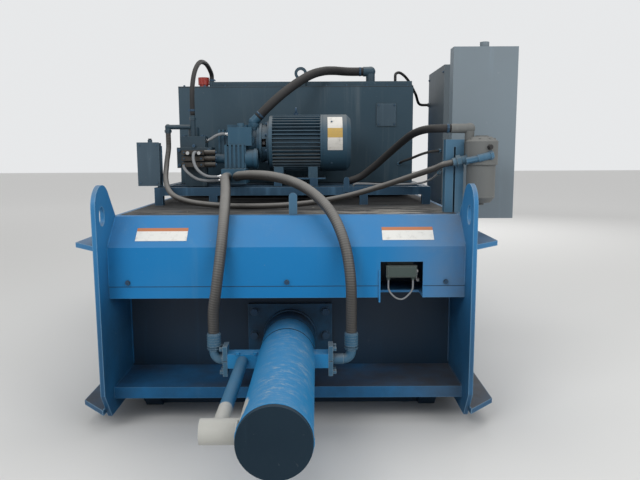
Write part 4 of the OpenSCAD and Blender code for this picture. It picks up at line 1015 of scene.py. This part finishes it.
@dataclass
class HoseEnds(Assembly):
    """Crimps and flange screws where the main hoses meet the cylinder and the pump."""

    low_ends: tuple[Point, ...] = ((-358, -450, 516), (320, -450, 516))
    high_ends: tuple[Point, ...] = ((-400, 446, 1248), (-330, 446, 1252))
    ferrule: float = 32.6
    crimp_pitch: float = 13.0
    flange_faces: tuple[tuple[int, float], ...] = ((1, 229), (-1, 311))
    screw_ys: Pair = (-476, -424)
    screw_zs: Pair = (327, 443)

    def build(self) -> None:
        """Adds the crimp ridges, the collars and the flange screws."""
        crimps = self.shop.start("hose_crimps", "fitting_paint", smooth=True)
        for x, y, z in self.low_ends:
            for i in range(6):
                crimps.ring((x, y, z - 8 - i * self.crimp_pitch), UP, self.ferrule, 2.2, 36)
            crimps.rod((x, y, z - 2), (x, y, z + 4), 30.5, 36)
        for x, y, z in self.high_ends:
            for i in range(2):
                crimps.ring((x, y + i * 12, z), ALONG, 28.8, 2.0, 36)
        screws = self.shop.start("flange_screws", "bolt_paint")
        for side, face in self.flange_faces:
            for y, z in product(self.screw_ys, self.screw_zs):
                screws.rod((side * face, y, z), (side * (face + 17), y, z), 8.5, 16)


@dataclass
class CoverTrim(Assembly):
    """Label plates, welds and seam of the folded cover."""

    bend: Point = (0, -350, 930)
    top: Point = (0, -200, 1072)
    half: float = 895.0
    plate_middles: Pair = (-634.0, 613.0)
    plate_wide: float = 260.0
    plate_low: float = 0.20
    plate_high: float = 0.61
    band_share: float = 0.76

    def on_slope(self, x: float, share: float, lift: float = 0.0) -> Vector:
        """Point on the slope.

        Args:
            x: place across the body.
            share: 0 at the bend, 1 at the deck.
            lift: distance off the face.

        Returns:
            The point in millimetres.
        """
        low, high = Vector(self.bend), Vector(self.top)
        up = (high - low).normalized()
        spot = low.lerp(high, share) + Vector((0, -up.z, up.y)) * lift
        return Vector((x, spot.y, spot.z))

    def build(self) -> None:
        """Adds the plates, the welds and the seam of the lower strip."""
        for name, middle in zip(("left", "right"), self.plate_middles):
            self.add_plate(name, middle)
        welds = self.shop.start("cover_welds", "cover_paint", smooth=True)
        for x in (-self.half, self.half):
            welds.bead((x, -351, 735), (x, -351, 925), 3.5, 9.0, 21)
            welds.bead((x, -349, 934), (x, -202, 1070), 3.5, 9.0, 22)
            welds.bead((x, -349, 204), (x, -30, 204), 4.0, 10.0, 23)
            welds.bead((x, -3, 210), (x, -3, 664), 5.0, 10.0, 24)
        seam = self.shop.start("cover_seam", "shade_paint")
        for low, high in ((-self.half - 0.6, 468), (686, self.half + 0.6)):
            seam.block((low, -350.8, 728.4), (high, -349, 731.6), 0.5)

    def add_plate(self, name: str, middle: float) -> None:
        """Adds one thin label plate with plain colour fields.

        Args:
            name: which side it is on.
            middle: its middle across the body.
        """
        low, high, half = self.plate_low, self.plate_high, self.plate_wide / 2
        start = self.on_slope(0, low + (high - low) * self.band_share).z * MM
        finish = PrintedPlate(LABEL_WHITE, LABEL_ORANGE, start, 2.0)
        corners = ((-half, low), (half, low), (half, high), (-half, high))
        plate = self.shop.start(f"label_plate_{name}", "cover_paint",
                                material=finish.make(f"label_print_{name}"))
        plate.skin([plate.row([self.on_slope(middle + x, share, lift) for x, share in corners])
                    for lift in (-0.5, 1.2)])


@dataclass
class MotorTrim(Assembly):
    """Small parts on the motor, its cowl and its flange."""

    y: float = 740.0
    z: float = 1457.0
    start: float = -152.0
    end: float = 188.0
    grille: float = 369.0
    radius: float = 183.0
    eye_x: float = 18.0
    flange_radius: float = 133.0
    grille_rings: tuple[float, ...] = (53, 89, 124)
    label_span: Pair = (34, 129)
    label_angles: Pair = (118, 195)
    label_band: Pair = (1.488, 1.548)

    def around(self, x: float, radius: float, angle: float) -> Vector:
        """Point at a radius and an angle in degrees from +Y round the motor's axis."""
        a = math.radians(angle)
        return Vector((x, self.y + radius * math.cos(a), self.z + radius * math.sin(a)))

    def build(self) -> None:
        """Adds the eye bolt, the screws, the rims of the grille and the curved plate."""
        iron = self.shop.start("motor_hardware", "bolt_paint")
        top = self.z + self.radius
        iron.rod((self.eye_x, self.y, top - 12), (self.eye_x, self.y, top + 12), 14, 20)
        iron.ring((self.eye_x, self.y, top + 26), ACROSS, 18, 5.5, 40)
        middle = self.around(self.end + 60, 0.0, 0.0)
        for angle in range(45, 360, 90):
            spot = self.around(self.end + 60, self.radius, angle)
            iron.bolt(spot, spot - middle, 10)
        for angle in range(22, 382, 45):
            iron.bolt(self.around(self.start - 14, self.flange_radius, angle), LEFT, 17)
        rims = self.shop.start("cowl_rims", "motor_paint", smooth=True)
        rims.ring((self.grille, self.y, self.z), ACROSS, self.radius - 28, 2.2, 72)
        for radius in self.grille_rings:
            rims.ring((self.grille + 0.6, self.y, self.z), ACROSS, radius, 1.4, 60)
        rims.ring((self.end + 4, self.y, self.z), ACROSS, self.radius - 0.5, 2.4, 90)
        self.add_label()

    def add_label(self) -> None:
        """Adds the thin curved label on the cowl."""
        finish = PrintedPlate(TAG_WHITE, TAG_AMBER, *self.label_band)
        label = self.shop.start("cowl_label", "motor_paint",
                                material=finish.make("cowl_label_print"))
        low, high = (self.end + run for run in self.label_span)
        outer = self.radius + 1.4
        inner = outer - 1.9
        section = ((low, inner), (high, inner), (high, outer), (low, outer))
        first, last = self.label_angles
        angles = [first + (last - first) * i / 12 for i in range(13)]
        label.skin([label.row([self.around(x, radius, angle) for x, radius in section])
                    for angle in angles])


@dataclass
class ManifoldTrim(Assembly):
    """Small-bore pipes, nuts and plugs at the valve manifold and pump."""

    pipes: tuple[Route, ...] = (
        ((-610, 598, 1400), (-610, 560, 1400), (-615, 505, 1392), (-612, 478, 1350),
         (-588, 462, 1296), (-540, 462, 1258), (-490, 470, 1248), (-438, 472, 1248)),
        ((-560, 640, 1470), (-530, 632, 1482), (-496, 626, 1502), (-462, 628, 1514),
         (-436, 636, 1514), (-410, 640, 1508)),
        ((-690, 598, 1318), (-690, 560, 1318), (-676, 520, 1296), (-640, 500, 1262),
         (-590, 498, 1232), (-520, 505, 1222), (-438, 512, 1222)))
    pipe_radius: float = 9.0
    face_y: float = 600.0
    top_z: float = 1500.0
    valve_y: float = 545.0
    valve_zs: tuple[float, ...] = (1322, 1360, 1398)
    plug_spots: tuple[Pair, ...] = (
        (-725, 1318), (-725, 1412), (-535, 1318), (-535, 1412), (-630, 1440))

    def build(self) -> None:
        """Adds the pipes, the bright fittings and the plugs."""
        pipes = self.shop.start("pilot_pipes", "cable_grey", smooth=True)
        nuts = self.shop.start("pipe_nuts", "rod_chrome")
        for line in self.pipes:
            pipes.tube(smooth_path(line, 5), self.pipe_radius, 14)
            for spot, way in line_ends(line):
                nuts.rod(spot - way * 3, spot + way * 14, 13, 6)
                nuts.rod(spot + way * 13, spot + way * 26, 10, 20)
        for x in (-585, -655):
            nuts.rod((x, self.valve_y, 1395), (x, self.valve_y - 30, 1395), 11, 20)
        plugs = self.shop.start("manifold_plugs", "bolt_paint")
        plugs.bolts([(x, self.face_y, z) for x, z in self.plug_spots], NEAR, 19, False)
        plugs.bolts(product((-700, -580), (625, 715), (self.top_z,)), UP, 14, False)
        for z in self.valve_zs:
            plugs.rod((-491, 572, z), (-483, 572, z), 9, 20)
        plugs.bolts(product((-684, -576), (self.valve_y,), self.valve_zs), NEAR, 9, False)


@dataclass
class FrameLines(Assembly):
    """Bent drain pipe over the front rail and feed conduit from the tank to the cabinet."""

    drain: Route = (
        (372, 520, 1176), (384, 512, 1192), (430, 498, 1201), (514, 490, 1198), (655, 460, 1196),
        (778, 380, 1208), (824, 275, 1234), (836, 190, 1258), (846, 118, 1282))
    feed: Route = (
        (735, 1044, 1312), (742, 1005, 1322), (811, 950, 1352), (880, 905, 1382),
        (950, 915, 1398), (1010, 962, 1402))

    def build(self) -> None:
        """Adds both lines with a nut at each end."""
        drain = self.shop.start("drain_pipe", "cable_grey", smooth=True)
        feed = self.shop.start("feed_conduit", "hose_black", smooth=True)
        nuts = self.shop.start("line_nuts", "fitting_paint")
        for pipe, line, radius in ((drain, self.drain, 6.5), (feed, self.feed, 9.0)):
            pipe.tube(smooth_path(line), radius, 12)
            for spot, way in line_ends(line):
                nuts.rod(spot, spot + way * 16, radius * 1.6, 6)


@dataclass
class TankTrim(Assembly):
    """Lid screws, gasket and the face of the level plate of the oil tank."""

    left: float = -812.0
    right: float = 828.0
    front: float = 1040.0
    back: float = 1540.0
    top: float = 1854.0
    lid_z: float = 1846.6
    inset: float = 18.0
    lid_screws: int = 12
    plate_xs: Pair = (577, 705)
    plate_zs: Pair = (1579, 1728)

    def build(self) -> None:
        """Adds the screws, the level plate's face and the gasket."""
        screws = self.shop.start("tank_screws", "bolt_paint")
        near, far = self.front + self.inset, self.back - self.inset
        for i in range(self.lid_screws):
            x = self.left + 40 + i * (self.right - self.left - 80) / (self.lid_screws - 1)
            for y in (near, far):
                if not (y < 1100 and -10 < x < 95):
                    screws.bolt((x, y, self.top), UP, 13)
        for i in range(1, 4):
            screws.bolt((self.left + 20, near + i * (far - near) / 4, self.top), UP, 13)
        screws.bolts(product((586, 696), (self.front - 6,), (1588, 1719)), NEAR, 10)
        plate = self.shop.start("level_plate_face", "box_paint")
        plate.block((self.plate_xs[0], self.front - 7.2, self.plate_zs[0]),
                    (self.plate_xs[1], self.front - 5.6, self.plate_zs[1]), 0.4)
        gasket = self.shop.start("lid_gasket", "fan_black")
        gasket.block((self.left - 0.8, self.front - 0.8, self.lid_z),
                     (self.right + 0.8, self.back + 0.8, self.lid_z + 3), 0.4)


@dataclass
class FilterTrim(Assembly):
    """Head screws, rings, indicator and inlet adaptor of the return filter."""

    x: float = 1026.0
    y: float = -90.0
    head_top: float = 1460.0
    screw_circle: float = 66.0
    dial_z: float = 1420.0
    rings: tuple[tuple[float, float, float], ...] = (
        (1331, 83, 3.4), (1449, 83.5, 2.0), (1162, 74.4, 1.4))

    def build(self) -> None:
        """Adds the rings, the screws, the indicator and the inlet adaptor."""
        x, y = self.x, self.y
        rings = self.shop.start("filter_rings", "filter_cast")
        for z, radius, thick in self.rings:
            rings.ring((x, y, z), UP, radius, thick, 72)
        for i in range(8):
            a = math.pi * (i + 0.5) / 4
            spot = (x + self.screw_circle * math.cos(a), y + self.screw_circle * math.sin(a),
                    self.head_top)
            rings.bolt(spot, UP, 11, False)
        dial = self.shop.start("clog_indicator", "fan_black")
        dial.rod((x + 20, y - 80, self.dial_z), (x + 24, y - 98, self.dial_z), 13)
        dial.rod((x + 24, y - 98, self.dial_z), (x + 25, y - 101, self.dial_z), 10)
        inlet = self.shop.start("inlet_adaptor", "post_paint")
        inlet.rod((938, y - 58, 1350), (1000, y - 84, 1364), 17, 6)
        inlet.rod((990, y - 80, 1362), (1050, y - 84, 1378), 20)
        inlet.rod((1048, y - 84, 1377), (1064, y - 82, 1381), 24, 6)


@dataclass
class BoxTrim(Assembly):
    """Screws, locks, plates and glands on the enclosures."""

    lock_levels: Pair = (1180, 1820)
    panel_x: float = 1102.0
    panel_y: float = 258.0
    cabinet_x: float = 1275.0

    def build(self) -> None:
        """Adds the small parts of the enclosures."""
        screws = self.shop.start("box_screws", "bolt_paint")
        screws.bolts(product((-946, -843), (486,), (1210, 1445)), NEAR, 8)
        screws.bolts(product((1022,), (960, 1508), (1060, 1935)), LEFT, 11)
        x, y = self.panel_x, self.panel_y
        locks = self.shop.start("panel_locks", "wear_steel", Body.PANEL_LID)
        for z in self.lock_levels:
            locks.rod((941, y, z), (941, y + 6, z), 14)
            locks.block((939, y + 5, z - 10), (943, y + 9, z + 10), 0.6)
        rims = self.shop.start("button_rims", "rod_chrome", Body.PANEL_LID)
        for z, radius in ((1695, 33), (1575, 22)):
            rims.ring((x, y + 3, z), ALONG, radius, 2.0)
        for low, high in ((1748, 1778), (1514, 1540)):
            rims.block((x - 50, y, low), (x + 50, y + 2, high), 0.5)
        x = self.cabinet_x
        latches = self.shop.start("cabinet_locks", "wear_steel", Body.CABINET_LID)
        for z in self.lock_levels:
            latches.rod((x, 954, z), (x + 8, 954, z), 14)
            latches.block((x + 7, 952, z - 10), (x + 11, 956, z + 10), 0.6)
        latches.block((x, 1180, 1880), (x + 2, 1360, 1930), 0.5)
        glands = self.shop.start("box_glands", "fan_black")
        glands.rod((self.panel_x, 210, 2006), (self.panel_x, 210, 2007.4), 20)
        glands.rod((-890, 528, 1478), (-890, 528, 1486), 10, 20)


@dataclass
class BodyWelds(Assembly):
    """Beads where ribs, stiffeners, channels and door channels meet their plates."""

    half: float = 918.0
    ends: Pair = (-460, 3680)
    stiffener_zs: tuple[int, ...] = (101, 126, 930, 955)
    rib_start: float = 160.0
    rib_pitch: float = 440.0
    roof_half: float = 890.0
    roof_z: float = 981.0
    door_xs: Pair = (-884, 774)
    door_y: float = 3726.0
    door_zs: tuple[int, ...] = (230, 300, 550, 620, 880, 950)

    def build(self) -> None:
        """Adds the beads on both sides, the roof and the door."""
        side = self.shop.start("side_welds", "plate_paint", smooth=True)
        for x in (-self.half - 1, self.half + 1):
            for z in self.stiffener_zs:
                side.bead((x, self.ends[0], z), (x, self.ends[1], z), 4.5, 22.0, z)
            for i in range(8):
                y = self.rib_start + i * self.rib_pitch
                for edge in (y - 1, y + 21):
                    side.bead((x, edge, 130), (x, edge, 926), 4.0, 22.0, i)
        roof = self.shop.start("roof_welds", "body_paint", smooth=True)
        for i in range(4):
            self.add_seam(roof, 131 + i * 380, 4.0, 22.0, i)
        for i in range(4):
            y = 2680 + i * 300
            for edge in (y - 1, y + 91):
                self.add_seam(roof, edge, 4.5, 18.0, i + 9)
        door = self.shop.start("door_welds", "body_paint", Body.BALE_DOOR, smooth=True)
        for z in self.door_zs:
            door.bead((self.door_xs[0], self.door_y, z), (self.door_xs[1], self.door_y, z), 4.5,
                      18.0, z)

    def add_seam(self, roof: Shape, y: float, size: float, pitch: float, seed: int) -> None:
        """Adds one bead across the roof."""
        roof.bead((-self.roof_half, y, self.roof_z), (self.roof_half, y, self.roof_z), size,
                  pitch, seed)


@dataclass
class HopperTrim(Assembly):
    """Stiffening ribs and bolts of the feed hopper."""

    half: float = 894.0
    low: float = 980.0
    high: float = 1782.0

    def build(self) -> None:
        """Adds the ribs, the band under the rim and the bolts."""
        ribs = self.shop.start("hopper_ribs", "body_paint")
        band = (self.high - 42, self.high - 34)
        for side in (-1, 1):
            near, far = sorted((side * (self.half - 1), side * (self.half + 10)))
            for y in (1700, 2380):
                ribs.block((near, y, self.low + 30), (far, y + 8, self.high - 45), 1.0)
            ribs.block((near, 1612, band[0]), (far, 2690, band[1]), 1.0)
        ribs.block((-self.half, 1597, band[0]), (self.half, 1607, band[1]), 1.0)
        bolts = self.shop.start("hopper_bolts", "bolt_paint")
        for side in (-1, 1):
            row = product((side * self.half,), range(1640, 2481, 140), (1004,))
            bolts.bolts(row, (side, 0, 0), 17)
        bolts.bolts(product(range(-800, 801, 160), (1606,), (1100,)), NEAR, 17)


@dataclass
class Lamp:
    """One large soft lamp."""

    name: str
    spot: Point
    aim: Point
    size: float
    power: float

    def hang(self) -> None:
        """Hangs the lamp and turns it to what it lights."""
        lamp = bpy.data.lights.new(self.name, "AREA")
        lamp.energy = self.power
        lamp.size = self.size
        obj = add_object(self.name, lamp)
        obj.location = self.spot
        way = Vector(self.aim) - Vector(self.spot)
        obj.rotation_euler = way.to_track_quat("-Z", "Y").to_euler()


@dataclass
class Studio:
    """Floor, backdrop, soft lamps and the camera at the photograph's angle."""

    eye: Point = (0.158, -3.46, 1.404)
    pitch: float = 8.04
    roll: float = -0.27
    focal: float = 630.0
    middle: float = 318.0
    width: float = 640.0
    sensor: float = 36.0
    floor_half: float = 40.0
    sky: Colour = (0.80, 0.81, 0.82)
    sky_light: float = 0.60
    lamps: tuple[Lamp, ...] = (
        Lamp("key", (-3.2, -5.0, 5.2), (0.0, 0.2, 0.8), 3.0, 175.0),
        Lamp("fill", (4.2, -4.0, 3.6), (0.0, 0.3, 0.9), 3.5, 110.0),
        Lamp("top", (0.5, 1.5, 6.0), (0.0, 1.2, 1.0), 4.5, 120.0),
        Lamp("back", (2.5, 8.5, 4.5), (0.0, 3.0, 0.8), 3.5, 150.0))

    def build(self) -> None:
        """Makes the stage, the light and the camera."""
        self.make_floor()
        self.make_sky()
        for lamp in self.lamps:
            lamp.hang()
        self.make_camera()

    def make_floor(self) -> None:
        """Lays the pale floor, painted darker near the part and lighter away from it, evening out
        the lamps' light.
        """
        mesh = bmesh.new()
        bmesh.ops.create_grid(mesh, x_segments=1, y_segments=1, size=self.floor_half)
        data = bpy.data.meshes.new("studio_floor")
        mesh.to_mesh(data)
        mesh.free()
        floor = add_object("studio_floor", data)
        g = Graph("studio_floor")
        # Painted light: the floor is darker near the part and lighter far off, evening out the
        # lamps' fall-off.
        away = g.distance((0.0, 1.0, 0.0)).between(3.0, 14.0)
        g.colour = g.mix(away, (0.62, 0.62, 0.61), (0.90, 0.90, 0.89))
        g.surface(Roughness=0.85)
        data.materials.append(g.material)

    def make_sky(self) -> None:
        """Makes an even sky that reads as a pale wall."""
        world = bpy.data.worlds.new("studio_sky")
        bpy.context.scene.world = world
        world.use_nodes = True
        tree = Tree(world.node_tree)
        tree.tree.nodes.clear()
        rays = tree.node("LightPath", {}).outputs
        seen = tree.node("Math", {0: rays["Is Camera Ray"], 1: rays["Is Transmission Ray"]},
                         operation="MAXIMUM")
        pale = tree.node("Background", {0: self.sky})
        light = tree.node("Background", {0: (1.0, 1.0, 1.0), 1: self.sky_light})
        mixed = tree.node("MixShader", {0: seen.outputs[0], 1: light.outputs[0],
                                        2: pale.outputs[0]})
        tree.node("OutputWorld", {0: mixed.outputs[0]})

    def make_camera(self) -> None:
        """Sets the camera."""
        data = bpy.data.cameras.new("photo_camera")
        data.sensor_width = self.sensor
        data.lens = self.focal / self.width * self.sensor
        data.shift_x = (self.width / 2 - self.middle) / self.width
        data.clip_end = 200.0
        obj = add_object("photo_camera", data)
        turn = (Matrix.Rotation(math.radians(90.0 - self.pitch), 4, "X")
                @ Matrix.Rotation(math.radians(self.roll), 4, "Z"))
        obj.matrix_world = Matrix.Translation(self.eye) @ turn
        bpy.context.scene.camera = obj


def main() -> None:
    """Builds the classes in order."""
    logging.basicConfig(level=logging.INFO, format="%(name)s: %(message)s")
    bpy.context.scene.view_settings.view_transform = "Standard"
    Studio().build()
    shop = Shop()
    shop.dress_nodes()
    for kind in (Hoses, CylinderEnd, HoseEnds, CoverTrim, MotorTrim, ManifoldTrim, FrameLines,
                 TankTrim, FilterTrim, BoxTrim, BodyWelds, HopperTrim):
        kind(shop).build()
        shop.place_waiting()
        LOG.info("%s done", kind.__name__)


if __name__ == "__main__":
    main()
